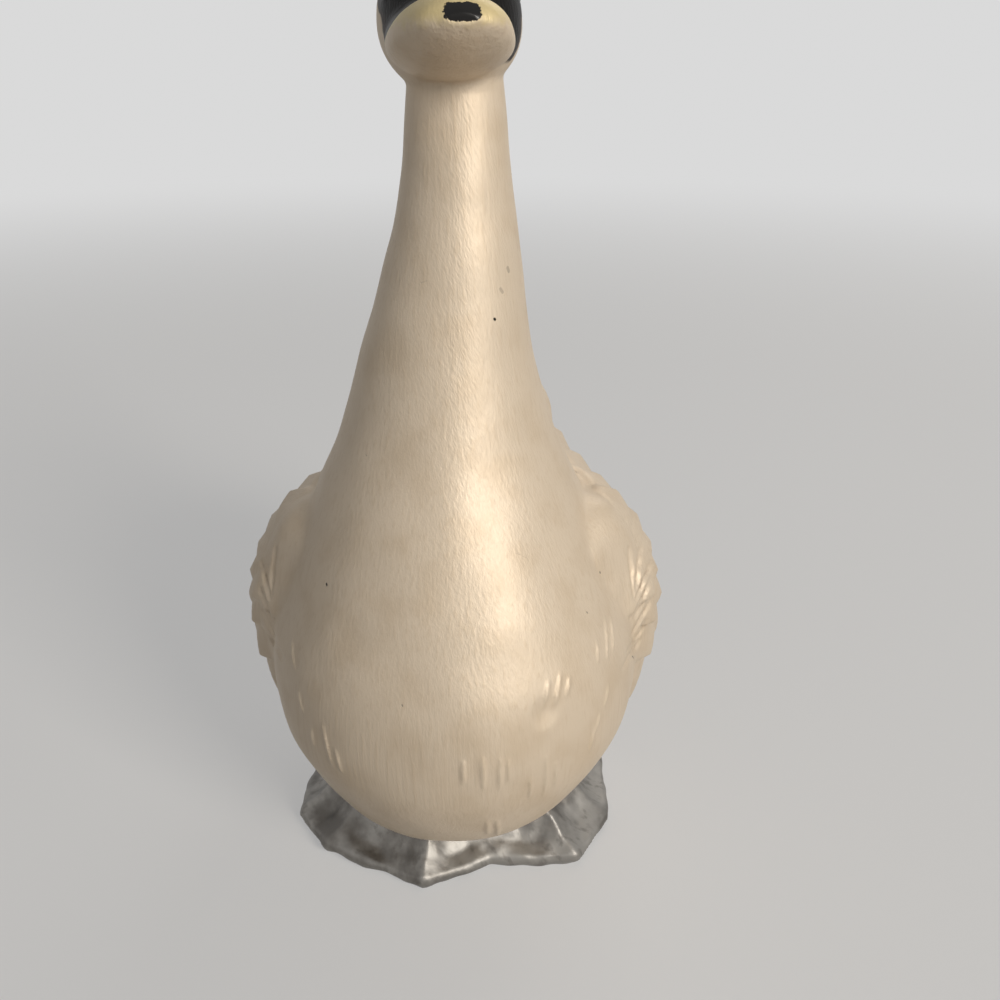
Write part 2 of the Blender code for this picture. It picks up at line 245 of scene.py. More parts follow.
def loft(name, rings):
    rings = np.asarray(rings)
    stack, around = rings.shape[:2]
    points = np.vstack([rings.reshape(-1, 3), rings[0].mean(0), rings[-1].mean(0)])
    faces = []
    for i in range(stack - 1):
        for j in range(around):
            k = (j + 1) % around
            faces.append((i * around + j, i * around + k, (i + 1) * around + k, (i + 1) * around + j))
    last = (stack - 1) * around
    for j in range(around):
        k = (j + 1) % around
        faces.append((stack * around, k, j))
        faces.append((stack * around + 1, last + j, last + k))
    mesh = bpy.data.meshes.new(name)
    mesh.from_pydata(points.tolist(), [], faces)
    return mesh


def ball(name, middle, radii, depth, rows=40, around=64):
    angle = fullTurn(around)
    rings = []
    for down in np.linspace(0, math.pi, rows)[1:-1]:
        half = depth if down < math.pi / 2 else radii[2]
        rings.append(np.stack([middle[0] + radii[0] * math.sin(down) * np.cos(angle),
                               middle[1] + radii[1] * math.sin(down) * np.sin(angle),
                               np.full(around, middle[2] - half * math.cos(down))], axis=1))
    return loft(name, rings)


def newObject(name, mesh):
    made = bpy.data.objects.new(name, mesh)
    scene.collection.objects.link(made)
    return made


# Several meshes as one, with the first ones removed
def joinMeshes(name, meshes):
    points, faces = [], []
    for mesh in meshes:
        start = len(points)
        points += [tuple(v.co) for v in mesh.vertices]
        faces += [tuple(start + i for i in p.vertices) for p in mesh.polygons]
        bpy.data.meshes.remove(mesh)
    joined = bpy.data.meshes.new(name)
    joined.from_pydata(points, [], faces)
    return joined


# The result of an object's modifiers as a plain mesh; the object goes
def takeResult(thing, name):
    bpy.context.view_layer.update()
    graph = bpy.context.evaluated_depsgraph_get()
    mesh = bpy.data.meshes.new_from_object(thing.evaluated_get(graph), depsgraph=graph)
    mesh.name = name
    bpy.data.objects.remove(thing, do_unlink=True)
    return mesh


# Runs a node tree on a mesh, with the inputs that values has a name for
def grow(name, mesh, tree, values):
    thing = newObject(name, mesh)
    modifier = thing.modifiers.new(name, "NODES")
    modifier.node_group = tree
    for item in tree.interface.items_tree:
        if item.item_type == "SOCKET" and item.in_out == "INPUT" and item.name in values:
            modifier[item.identifier] = values[item.name]
    return takeResult(thing, name)


# One skin over meshes that overlap, slightly softened
def skinOver(name, mesh, grain, softening):
    thing = newObject(name, mesh)
    skin = thing.modifiers.new("skin", "REMESH")
    skin.mode = "VOXEL"
    skin.voxel_size = grain
    thing.modifiers.new("soft", "SMOOTH").iterations = softening
    return takeResult(thing, name)


def searchTree(mesh):
    return BVHTree.FromPolygons([v.co for v in mesh.vertices], [tuple(p.vertices) for p in mesh.polygons])


# Lift of the carver's soft lumps at a place, from rates and depths
def lumpAt(place, lumps):
    return sum(depth * noise.noise(place * rate) for rate, depth in lumps)


def store(mesh, name, values, kind="FLOAT"):
    made = mesh.attributes.new(name, kind, "POINT")
    made.data.foreach_set("value" if kind == "FLOAT" else "vector", np.ravel(values).tolist())


# Body and neck: height, half width, reach to the front, reach to the back, where it is widest, sideways
bodyForm = {
    "sections": [
        (0.0040, 0.0162, 0.0150, 0.0240, 0.0040, 0.0005),
        (0.0090, 0.0226, 0.0238, 0.0350, 0.0045, 0.0005),
        (0.0160, 0.0289, 0.0310, 0.0430, 0.0050, 0.0005),
        (0.0280, 0.0349, 0.0363, 0.0510, 0.0050, 0.0004),
        (0.0420, 0.0346, 0.0360, 0.0540, 0.0045, 0.0002),
        (0.0560, 0.0298, 0.0310, 0.0480, 0.0035, -0.0002),
        (0.0700, 0.0238, 0.0250, 0.0345, 0.0030, -0.0006),
        (0.0820, 0.0187, 0.0195, 0.0225, 0.0020, -0.0006),
        (0.0940, 0.0151, 0.0155, 0.0150, 0.0010, -0.0001),
        (0.1080, 0.0118, 0.0122, 0.0112, 0.0000, 0.0011),
        (0.1220, 0.0092, 0.0096, 0.0088, 0.0000, 0.0021),
    ],
    "neckTopHeight": 0.1400,
    "neckTopRadius": 0.0072,
    "neckTopSideways": 0.0022,
    "rings": 200,
    "around": 256,
}


def makeBody():
    top = bodyForm["neckTopRadius"]
    neckTop = (bodyForm["neckTopHeight"], top, top, top, 0.0, bodyForm["neckTopSideways"])
    rows = readBetween(bodyForm["sections"] + [neckTop], bodyForm["rings"])
    angle = fullTurn(bodyForm["around"])
    rings = []
    for height, halfWidth, front, back, middle, sideways in rows:
        reach = np.where(np.sin(angle) < 0, middle + front, back - middle)
        rings.append(np.stack([halfWidth * np.cos(angle) + sideways,
                               middle + reach * np.sin(angle),
                               np.full_like(angle, height)], axis=1))
    return loft("body", rings)


# Head and bill, measured from the middle of the head, with x forward.
# The bill's rows are distance forward, half width, top and bottom.
headForm = {
    "aboveNeck": 0.0053,
    "sideways": 0.0015,
    "turn": 8.5,
    "halfWidth": 0.0108,
    "halfLength": 0.0128,
    "crown": 0.0138,
    "chin": 0.0096,
    "forehead": ((0.0095, -0.0012, 0.0034), (0.0105, 0.0047, 0.0050)),
    "eyeRadius": 0.0017,
    "eyeForward": 0.0040,
    "eyeAbove": 0.0046,
    "eyeStandsOut": 0.0007,
}
billForm = {
    "sections": [
        (-0.0020, 0.0070, 0.0032, -0.0060),
        (0.0050, 0.0086, 0.0042, -0.0071),
        (0.0110, 0.0090, 0.0042, -0.0071),
        (0.0165, 0.0086, 0.0041, -0.0061),
        (0.0215, 0.0073, 0.0038, -0.0042),
        (0.0250, 0.0052, 0.0031, -0.0020),
        (0.0268, 0.0022, 0.0014, -0.0002),
    ],
    "sideways": -0.0012,
    "seamShare": 0.42,
    "rings": 120,
    "around": 160,
}
headMiddle = Vector((headForm["sideways"], 0, bodyForm["neckTopHeight"] + headForm["aboveNeck"]))
headTurn = math.radians(headForm["turn"] - 90)
headPlace = Matrix.Translation(headMiddle) @ Matrix.Rotation(headTurn, 4, "Z")
skullRadii = (headForm["halfLength"], headForm["halfWidth"], headForm["crown"])


def eyeMiddle(side):
    along = headForm["eyeForward"] / headForm["halfLength"]
    up = headForm["eyeAbove"] / headForm["crown"]
    out = headForm["halfWidth"] * math.sqrt(1 - along**2 - up**2)
    return (headForm["eyeForward"], side * (out + headForm["eyeStandsOut"] - headForm["eyeRadius"]),
            headForm["eyeAbove"])


def makeBill():
    angle = fullTurn(billForm["around"])
    rings = []
    for forward, halfWidth, top, bottom in readBetween(billForm["sections"], billForm["rings"]):
        seam = bottom + (top - bottom) * billForm["seamShare"]
        rise = np.where(np.sin(angle) > 0, top - seam, seam - bottom)
        rings.append(np.stack([np.full_like(angle, forward),
                               billForm["sideways"] + halfWidth * np.cos(angle),
                               seam + rise * np.sin(angle)], axis=1))
    return loft("bill", rings)


def makeSkull():
    radius = headForm["eyeRadius"]
    middle, radii = headForm["forehead"]
    meshes = [ball("skull", (0, 0, 0), skullRadii, headForm["chin"]),
              ball("forehead", middle, radii, radii[2])]
    meshes += [ball("eye", eyeMiddle(side), (radius,) * 3, radius) for side in (1, -1)]
    return joinMeshes("skull", meshes)


# Right wing, from the shoulder to the tip: place along the body, sideways, height,
# half thickness, half height, how far its top leans in
wingForm = {
    "sections": [
        (-0.0095, 0.0235, 0.0530, 0.0040, 0.0095, 0.00),
        (-0.0010, 0.0240, 0.0458, 0.0118, 0.0216, 0.00),
        (0.0090, 0.0240, 0.0404, 0.0155, 0.0269, 0.06),
        (0.0220, 0.0198, 0.0448, 0.0160, 0.0268, 0.27),
        (0.0340, 0.0160, 0.0505, 0.0128, 0.0235, 0.28),
        (0.0450, 0.0125, 0.0575, 0.0098, 0.0205, 0.22),
        (0.0530, 0.0115, 0.0665, 0.0075, 0.0120, 0.05),
        (0.0580, 0.0115, 0.0730, 0.0025, 0.0030, 0.00),
    ],
    "roundness": 0.94,
    "rings": 200,
    "around": 260,
}


def makeWing(side):
    angle = fullTurn(wingForm["around"])
    rings = []
    for back, sideways, height, thick, tall, leanIn in readBetween(wingForm["sections"], wingForm["rings"]):
        out = sideways + thick * blunt(np.cos(angle), wingForm["roundness"]) - leanIn * tall * np.sin(angle)
        rings.append(np.stack([side * out, np.full_like(out, back), height + tall * np.sin(angle)], axis=1))
    return loft("wing", rings if side < 0 else [ring[::-1] for ring in rings])


# One feather as a thin closed blade, one unit long and one unit wide, with its place kept
# in attributes, so that a node tree can drape it over a wing
blade = {"along": 26, "across": 18, "tipPower": 6, "rootWidth": 0.75, "leastWidth": 0.02}


def makeBlade():
    rows, columns = blade["along"], blade["across"]
    points, faces, where = [], [], []
    for top in (1, 0):
        for i in range(rows):
            v = math.sin(i / (rows - 1) * math.pi / 2)
            width = math.sqrt(max(1 - v ** blade["tipPower"], blade["leastWidth"] ** 2))
            width *= blade["rootWidth"] + (1 - blade["rootWidth"]) * v
            for j in range(columns):
                u = math.sin((j / (columns - 1) * 2 - 1) * math.pi / 2)
                points.append((0, v, u * width / 2))
                where.append((u, v, top))
    low = rows * columns
    for i in range(rows - 1):
        for j in range(columns - 1):
            a, b = i * columns + j, (i + 1) * columns + j
            faces.append((a, a + 1, b + 1, b))
            faces.append((low + a, low + b, low + b + 1, low + a + 1))
    edge = [(0, j) for j in range(columns - 1)]
    edge += [(i, columns - 1) for i in range(rows - 1)]
    edge += [(rows - 1, j) for j in range(columns - 1, 0, -1)]
    edge += [(i, 0) for i in range(rows - 1, 0, -1)]
    for (i, j), (k, m) in zip(edge, edge[1:] + edge[:1]):
        a, b = i * columns + j, k * columns + m
        faces.append((b, a, low + a, low + b))
    mesh = bpy.data.meshes.new("blade")
    mesh.from_pydata(points, [], faces)
    for name, values in zip(("across", "along", "upper"), zip(*where)):
        store(mesh, name, values)
    return newObject("blade", mesh)


# A point for each feather's root, with how the feather is turned and sized
def rootMesh(roots, turns, sizes):
    mesh = bpy.data.meshes.new("roots")
    mesh.from_pydata([tuple(root) for root in roots], [], [])
    store(mesh, "turning", turns, "FLOAT_VECTOR")
    store(mesh, "sizing", sizes, "FLOAT_VECTOR")
    return mesh


# The blade at each root, as real geometry
def bladesAtRoots(tree, given):
    turned = addNode(tree, "FunctionNodeEulerToRotation", {0: named(tree, "turning", "FLOAT_VECTOR")})
    placed = addNode(tree, "GeometryNodeInstanceOnPoints", {
        "Points": given["roots"], "Instance": shapeOf(tree, given["blade"]),
        "Rotation": turned, "Scale": named(tree, "sizing", "FLOAT_VECTOR")})
    return addNode(tree, "GeometryNodeRealizeInstances", {0: placed}).outputs[0]


# Feathers that cover the wing, in rows around the shoulder: distance to the root, length,
# width, how many. Rays are cast inwards from castFrom over castLength to find the wing;
# what they miss is tucked in at the point of the wing nearest to tuckedAt.
wingFeathers = {
    "shoulder": (-0.0040, 0.0600),
    "rows": [
        (0.0040, 0.0096, 0.0084, 7),
        (0.0090, 0.0112, 0.0086, 9),
        (0.0170, 0.0126, 0.0092, 11),
        (0.0260, 0.0160, 0.0100, 13),
        (0.0370, 0.0270, 0.0104, 16),
    ],
    "fanFrom": -118.0,
    "fanTo": 34.0,
    "firstShare": 0.25,
    "rowShift": 0.5,
    "relief": 0.0017,
    "rootRelief": -0.15,
    "edgeDrop": 0.50,
    "fadeFrom": 0.10,
    "fadeTo": 0.36,
    "fadedDepth": 0.0006,
    "sunk": 0.0016,
    "shaftHeight": 0.00022,
    "shaftWidth": 0.12,
    "barbDepth": 0.00014,
    "barbs": 7.0,
    "barbSlant": 2.2,
    "barbsFrom": 0.05,
    "barbsFull": 0.35,
    "castFrom": 0.080,
    "castLength": 0.065,
    "tuckedAt": 0.024,
}


def featherRoots():
    roots, turns, sizes = [], [], []
    shoulderBack, shoulderHeight = wingFeathers["shoulder"]
    fan = wingFeathers["fanTo"] - wingFeathers["fanFrom"]
    for row, (reach, length, width, count) in enumerate(wingFeathers["rows"]):
        shift = wingFeathers["firstShare"] + wingFeathers["rowShift"] * (row % 2)
        for number in range(count):
            turn = math.radians(wingFeathers["fanFrom"] + (number + shift) / count * fan)
            roots.append((0, shoulderBack + reach * math.cos(turn), shoulderHeight + reach * math.sin(turn)))
            turns.append((turn, 0, 0))
            sizes.append((1, length, width))
    return rootMesh(roots, turns, sizes)


# Drapes a blade on the wing at each root, thicker towards its tip, with a shaft and slanting barbs
def drapeTree():
    tree, given = newGroup("drapedFeathers", "Geometry", [
        ("Geometry", ["roots"]), ("Object", ["blade", "wing"]), ("Material", ["paint"]),
        ("Float", ["side", "castFrom", "castLength", "tuckedAt", "relief", "rootRelief", "edgeDrop", "sunk",
                   "shaftHeight", "shaftWidth", "barbs", "barbSlant", "barbsFrom", "barbsFull", "barbDepth",
                   "fadeFrom", "fadeTo", "fadedDepth"])], ("Geometry", "feathers"))
    blades = bladesAtRoots(tree, given)
    wing = shapeOf(tree, given["wing"])
    here = split(addNode(tree, "GeometryNodeInputPosition").outputs[0])

    def beside(distance):
        return vectorOf(tree, times(given["side"], distance), here["Y"], here["Z"])

    hit = addNode(tree, "GeometryNodeRaycast", {
        "Target Geometry": wing, "Source Position": beside(given["castFrom"]),
        "Ray Direction": vectorOf(tree, times(given["side"], -1.0), 0.0, 0.0),
        "Ray Length": given["castLength"]}).outputs
    near = addNode(tree, "GeometryNodeProximity", {
        "Geometry": wing, "Sample Position": beside(given["tuckedAt"])}, target_element="FACES")

    def whereHit(hitValue, otherValue):
        return addNode(tree, "GeometryNodeSwitch", {
            "Switch": hit["Is Hit"], "True": hitValue, "False": otherValue}, input_type="VECTOR")

    along, across = named(tree, "along"), positive(named(tree, "across"))
    rise = timesPlus(minus(1.0, given["rootRelief"]), along, given["rootRelief"])
    crown = minus(1.0, times(given["edgeDrop"], calc("POWER", across, 2.0)))
    shaft = times(softStep(across, 0.0, given["shaftWidth"], 1.0, 0.0), given["shaftHeight"])
    wave = timesPlus(along, given["barbs"], times(across, given["barbSlant"]))
    groove = timesPlus(calc("COSINE", times(wave, 2 * math.pi)), 0.5, 0.5)
    groove = times(groove, softStep(across, given["barbsFrom"], given["barbsFull"]))
    height = plus(times(times(rise, crown), given["relief"]), shaft)
    height = minus(height, times(groove, given["barbDepth"]))
    # where the wing turns edge-on the feathers sink into it
    fade = softStep(positive(split(hit["Hit Normal"])[0]), given["fadeFrom"], given["fadeTo"])
    height = blendNumber(fade, times(given["fadedDepth"], -1.0), height)
    down = times(given["sunk"], -1.0)
    height = blendNumber(named(tree, "upper"), down, height)
    # what reaches past the wing's edge is tucked inside the wing
    tucked = vectorOf(tree, times(given["side"], down), 0.0, down)
    moved = addNode(tree, "GeometryNodeSetPosition", {
        "Geometry": blades, "Position": whereHit(hit["Hit Position"], near),
        "Offset": whereHit(scaled(hit["Hit Normal"], height), tucked)})
    return endTree(tree, moved, given["paint"])


# Long feathers of the wing tips and the tail's fan: one lens-shaped blade, set out by a node tree
longBlade = {
    "rings": 60,
    "around": 72,
    "endAngle": 0.02,
    "rootWidth": 0.7,
    "widening": 0.3,
    "tipPower": 5,
    "thinning": 0.35,
    "thinPower": 6,
    "barbs": 11,
    "barbSlant": 2.0,
    "barbDepth": 0.12,
    "barbsFrom": 0.1,
    "barbsFull": 0.4,
    "shaft": 0.16,
    "shaftWidth": 0.2,
}
wingTip = {
    "tips": [(0.0745, 0.0590, 0.0155), (0.0655, 0.0600, 0.0145), (0.0565, 0.0575, 0.0150)],
    "length": 0.0340,
    "slope": 34.0,
    "toMiddle": 0.12,
    "halfWidth": 0.0058,
    "halfThickness": 0.0034,
    "flatSide": (0.2, 0.2),
}
tailFan = {
    "rootBack": 0.0360,
    "rootHeight": 0.0385,
    "length": 0.0405,
    "spacing": 0.0030,
    "halfWidth": 0.0062,
    "halfThickness": 0.0038,
    "rise": 24.0,
    "fan": 8.0,
    "step": 0.0005,
    "shortening": 0.00135,
    "cup": 0.08,
    "count": 5,
}


# Unit blade along x, flat side up, with a shaft and slanting barbs on both faces
def makeLongBlade():
    angle = fullTurn(longBlade["around"])
    across = np.abs(np.cos(angle))
    shaft = longBlade["shaft"] * (1 - ease(across, 0.0, longBlade["shaftWidth"]))
    barbed = ease(across, longBlade["barbsFrom"], longBlade["barbsFull"])
    end = longBlade["endAngle"]
    rings = []
    for share in np.sin(np.linspace(end, math.pi / 2 - end, longBlade["rings"])):
        wide = math.sqrt(1 - share ** longBlade["tipPower"])
        wide *= longBlade["rootWidth"] + longBlade["widening"] * share
        thin = math.sqrt(1 - share ** longBlade["thinPower"]) * (1 - longBlade["thinning"] * share)
        wave = share * longBlade["barbs"] + across * longBlade["barbSlant"]
        barbs = np.cos(2 * math.pi * wave) * barbed
        lift = 1 + shaft - longBlade["barbDepth"] * (0.5 + 0.5 * barbs)
        rings.append(np.stack([np.full_like(angle, share), wide * np.cos(angle),
                               thin * np.sin(angle) * lift], axis=1))
    return newObject("longBlade", loft("longBlade", rings))


# Each long feather: root, the way it points, the way its flat side looks, size
def longFeathers():
    slope = math.radians(wingTip["slope"])
    size = (wingTip["length"], wingTip["halfWidth"], wingTip["halfThickness"])
    for side in (1, -1):
        for height, back, sideways in wingTip["tips"]:
            tip = Vector((side * sideways, back, height))
            ahead = Vector((-side * wingTip["toMiddle"], math.cos(slope), math.sin(slope))).normalized()
            yield tip - wingTip["length"] * ahead, ahead, (side, *wingTip["flatSide"]), size
    rise = math.radians(tailFan["rise"])
    for number in range(tailFan["count"]):
        place = number - (tailFan["count"] - 1) / 2
        turn = math.radians(tailFan["fan"] * place)
        ahead = Vector((math.sin(turn), math.cos(turn) * math.cos(rise), math.cos(turn) * math.sin(rise)))
        below = tailFan["step"] * abs(place)
        root = Vector((tailFan["spacing"] * place, tailFan["rootBack"], tailFan["rootHeight"] - below))
        length = tailFan["length"] - tailFan["shortening"] * abs(place)
        flatSide = (tailFan["cup"] * place, -math.sin(rise), math.cos(rise))
        yield root, ahead, flatSide, (length, tailFan["halfWidth"], tailFan["halfThickness"])


def longRoots():
    roots, turns, sizes = [], [], []
    for root, ahead, flatSide, size in longFeathers():
        across = ahead.cross(Vector(flatSide)).normalized()
        roots.append(root)
        turns.append(tuple(Matrix((ahead, across, across.cross(ahead))).transposed().to_euler()))
        sizes.append(size)
    return rootMesh(roots, turns, sizes)


def placeTree():
    tree, given = newGroup("placedFeathers", "Geometry", [
        ("Geometry", ["roots"]), ("Object", ["blade"]), ("Material", ["paint"])], ("Geometry", "feathers"))
    return endTree(tree, bladesAtRoots(tree, given), given["paint"])


# Short raised strokes, as small breast feathers. Those in front are placed by pixels of the
# photograph (x and y of the top end, x and y of the bottom end); those behind by a rule.
strokes = {
    "seen": [
        (597, 640, 598, 663), (605, 617, 608, 661), (611, 617, 614, 652),
        (548, 680, 544, 709), (560, 672, 554, 707), (569, 676, 566, 696),
        (463, 760, 463, 784), (482, 757, 483, 789), (500, 757, 499, 790), (508, 760, 508, 782),
        (531, 778, 529, 799), (546, 755, 543, 797), (556, 762, 554, 786),
        (312, 727, 314, 746), (324, 725, 334, 768), (336, 748, 342, 772),
        (292, 640, 296, 670), (487, 820, 487, 834), (497, 820, 497, 835),
        (609, 683, 604, 707), (600, 712, 595, 732), (594, 730, 589, 750),
        (300, 690, 304, 712), (640, 690, 633, 706),
    ],
    "behindHeights": [0.0180, 0.0250, 0.0330],
    "behindBearings": [38, 62, 88, 112, 140],
    "groupSpacing": 4.2,
    "behindLength": 0.0065,
    "behindTurn": 13.0,
    "behindMiddle": 0.004,
    "castFrom": 0.2,
    "sideShorter": 0.25,
    "everySecondLonger": 0.1,
    "radius": 0.00041,
    "sunk": 0.00006,
    "taperPower": 0.35,
    "endShare": 0.03,
    "steps": 16,
    "sides": 10,
}


def strokeLines(surface):
    tree = searchTree(surface)
    pairs = [[tree.ray_cast(*pixelRay(x, y))[0] for x, y in ((x1, y1), (x2, y2))]
             for x1, y1, x2, y2 in strokes["seen"]]
    for row, height in enumerate(strokes["behindHeights"]):
        for number, bearing in enumerate(strokes["behindBearings"]):
            turned = bearing + strokes["behindTurn"] * (row % 2)
            for k in (-1, 0, 1):
                around = math.radians(turned + strokes["groupSpacing"] * k)
                out = Vector((math.cos(around), math.sin(around), 0))
                length = strokes["behindLength"] * (1 - strokes["sideShorter"] * abs(k)
                                                    + strokes["everySecondLonger"] * ((row + number) % 2))
                top = Vector((0, strokes["behindMiddle"], height + length / 2))
                pairs.append([tree.ray_cast(top - Vector((0, 0, length * low)) + out * strokes["castFrom"],
                                            -out)[0] for low in (0, 1)])
    ends = [tuple(point) for pair in pairs if all(pair) for point in pair]
    mesh = bpy.data.meshes.new("strokeLines")
    mesh.from_pydata(ends, [(i, i + 1) for i in range(0, len(ends), 2)], [])
    return mesh


# Turns each line into a ridge that tapers at both ends and follows the surface
def strokeTree():
    tree, given = newGroup("ridgeStrokes", "Geometry", [
        ("Geometry", ["lines"]), ("Object", ["surface"]), ("Float", ["radius", "sunk"]),
        ("Int", ["steps", "sides"]), ("Material", ["paint"])], ("Geometry", "ridges"))
    surface = shapeOf(tree, given["surface"])
    lines = addNode(tree, "GeometryNodeMeshToCurve", {0: given["lines"]})
    steps = addNode(tree, "GeometryNodeResampleCurve", {"Curve": lines, "Count": given["steps"]})
    near = addNode(tree, "GeometryNodeProximity", {"Geometry": surface}, target_element="FACES")
    normal = addNode(tree, "GeometryNodeSampleNearestSurface", {
        "Mesh": surface, "Value": addNode(tree, "GeometryNodeInputNormal")}, data_type="FLOAT_VECTOR")
    inward = scaled(normal.outputs["Value"], times(given["sunk"], -1.0))
    laid = addNode(tree, "GeometryNodeSetPosition", {"Geometry": steps, "Position": near, "Offset": inward})
    share = addNode(tree, "GeometryNodeSplineParameter").outputs["Factor"]
    end = strokes["endShare"]
    wave = timesPlus(share, (1 - 2 * end) * math.pi, end * math.pi)
    profile = addNode(tree, "GeometryNodeCurvePrimitiveCircle", {
        "Resolution": given["sides"], "Radius": given["radius"]})
    ridge = addNode(tree, "GeometryNodeCurveToMesh", {
        "Curve": laid, "Profile Curve": profile, "Fill Caps": True,
        "Scale": calc("POWER", calc("SINE", wave), strokes["taperPower"])})
    return endTree(tree, ridge, given["paint"])


# Rocky foot. The corners, seen from above, go round from the back: sideways, backwards.
# The levels are the share of the outline's radius, the height and the depth of the hollows.
footForm = {
    "corners": [
        (0.0262, 0.0250), (0.0312, 0.0085), (0.0309, -0.0095), (0.0241, -0.0214), (0.0072, -0.0219),
        (-0.0056, -0.0278), (-0.0246, -0.0182), (-0.0320, -0.0085), (-0.0303, 0.0115), (-0.0233, 0.0275),
        (-0.0060, 0.0340), (0.0120, 0.0325),
    ],
    "levels": [
        (0.90, -0.0030, 0.0),
        (0.96, 0.0000, 0.0),
        (1.00, 0.0014, 0.0),
        (0.985, 0.0029, 0.2),
        (0.94, 0.0039, 0.5),
        (0.87, 0.0055, 0.9),
        (0.78, 0.0088, 1.0),
        (0.62, 0.0118, 0.9),
        (0.40, 0.0123, 0.3),
    ],
    "hollow": 0.0020,
    "ridgePower": 0.8,
    "undercut": 0.0004,
    "around": 480,
    "firstAngle": 0.0001,
    "between": 6,
    "lumps": [(120.0, 0.00065), (330.0, 0.00030)],
    "grain": 0.00045,
    "softening": 2,
}


def footOutline(angles):
    corners = [complex(x, y) for x, y in footForm["corners"]]
    radius, ridge = [], []
    for angle in angles:
        direction = complex(math.cos(angle), math.sin(angle))
        for start, end in zip(corners, corners[1:] + corners[:1]):
            a, b = start / direction, end / direction
            share = a.imag / (a.imag - b.imag) if a.imag != b.imag else 0
            if a.imag * b.imag <= 0 and a.real + share * (b.real - a.real) > 0:
                radius.append(a.real + share * (b.real - a.real))
                ridge.append(abs(2 * share - 1))
                break
    return np.array(radius), np.array(ridge)


def makeFoot():
    angles = fullTurn(footForm["around"]) + footForm["firstAngle"]
    radius, ridge = footOutline(angles)
    levels = np.array(footForm["levels"])
    rings = []
    for place in np.linspace(0, len(levels) - 1, (len(levels) - 1) * footForm["between"] + 1):
        share, height, hollow = (np.interp(place, range(len(levels)), levels[:, k]) for k in range(3))
        inset = share * radius - (footForm["undercut"] if height <= 0 else 0)
        z = height - footForm["hollow"] * hollow * (1 - ridge) ** footForm["ridgePower"]
        rings.append(np.stack([inset * np.cos(angles), inset * np.sin(angles), z], axis=1))
    mesh = skinOver("rocky_foot", loft("foot", rings), footForm["grain"], footForm["softening"])
    for vertex, normal in [(v, v.normal.copy()) for v in mesh.vertices]:
        vertex.co += normal * lumpAt(vertex.co, footForm["lumps"])
    # cut flat where it stands
    cut = bmesh.new()
    cut.from_mesh(mesh)
    geometry = cut.verts[:] + cut.edges[:] + cut.faces[:]
    bmesh.ops.bisect_plane(cut, geom=geometry, plane_co=(0, 0, 0), plane_no=(0, 0, 1), clear_inner=True)
    bmesh.ops.holes_fill(cut, edges=[edge for edge in cut.edges if edge.is_boundary], sides=0)
    bmesh.ops.triangulate(cut, faces=[f for f in cut.faces if len(f.verts) > 4])
    bmesh.ops.recalc_face_normals(cut, faces=cut.faces)
    cut.to_mesh(mesh)
    cut.free()
    return mesh


# How hollow the surface is at each point, for the painted shade in the hollows and the painted highlight on
# the ridges
def storeHollows(mesh, passes=2, spread=0.6):
    count = len(mesh.vertices)
    points = np.empty(count * 3)
    normals = np.empty(count * 3)
    mesh.vertices.foreach_get("co", points)
    mesh.vertices.foreach_get("normal", normals)
    points, normals = points.reshape(-1, 3), normals.reshape(-1, 3)
    edges = np.empty(len(mesh.edges) * 2, dtype=np.int32)
    mesh.edges.foreach_get("vertices", edges)
    first, second = edges.reshape(-1, 2).T
    near = np.bincount(first, minlength=count) + np.bincount(second, minlength=count)
    near = np.maximum(near, 1)

    def average(values):
        total = np.zeros_like(values)
        np.add.at(total, first, values[second])
        np.add.at(total, second, values[first])
        return total / (near[:, None] if values.ndim > 1 else near)

    step = average(points) - points
    length = np.linalg.norm(points[first] - points[second], axis=1)
    reach = np.bincount(first, length, count) + np.bincount(second, length, count)
    bend = np.sum(step * normals, axis=1) / np.maximum(reach / near, 1e-6) ** 2
    for _ in range(passes):
        bend = (1 - spread) * bend + spread * average(bend)
    store(mesh, "hollow", bend)


# Brush marks, as a shared effect: stretched noise along a tilted upright direction
def brushGroup():
    tree, given = newGroup("brushMarks", "Shader", [
        ("Vector", ["Vector"]), ("Float", ["Scale", "Stretch", "Tilt"])], ("Float", "Mark"))
    turned = addNode(tree, "ShaderNodeVectorRotate", {"Vector": given["Vector"], "Angle": given["Tilt"]},
                     rotation_type="Y_AXIS")
    squeezed = vectorCalc("MULTIPLY", turned.outputs[0], vectorOf(tree, 1.0, 1.0, given["Stretch"]))
    addNode(tree, "NodeGroupOutput", {"Mark": noiseAt(squeezed, given["Scale"], 3.0, 0.55)})
    return tree


# A mark along the line from A to B: 1 on it and 0 beyond its radius
def lineGroup():
    tree, given = newGroup("lineMark", "Shader", [
        ("Vector", ["Point", "A", "B"]), ("Float", ["Radius"])], ("Float", "Mark"))
    fromA = vectorCalc("SUBTRACT", given["Point"], given["A"])
    line = vectorCalc("SUBTRACT", given["B"], given["A"])
    squared = greater(vectorCalc("DOT_PRODUCT", line, line), 1e-12)
    share = addNode(tree, "ShaderNodeClamp", {
        0: calc("DIVIDE", vectorCalc("DOT_PRODUCT", fromA, line), squared)}).outputs[0]
    away = vectorCalc("DISTANCE", fromA, scaled(line, share))
    mark = softStep(calc("DIVIDE", away, given["Radius"]), 0.55, 1.0, 1.0, 0.0)
    addNode(tree, "NodeGroupOutput", {"Mark": mark})
    return tree


# A shared effect placed in a material, with the material's own values
def place(group, where, **values):
    made = addNode(where.id_data, "ShaderNodeGroup", node_tree=group)
    feed(made.inputs[0], where)
    for name, value in values.items():
        feed(made.inputs[name], value)
    return made.outputs[0]


# Scale, stretch and tilt of a set of brush marks
def brush(group, where, marks):
    scale, stretch, tilt = marks
    return place(group, where, Scale=scale, Stretch=stretch, Tilt=math.radians(tilt))
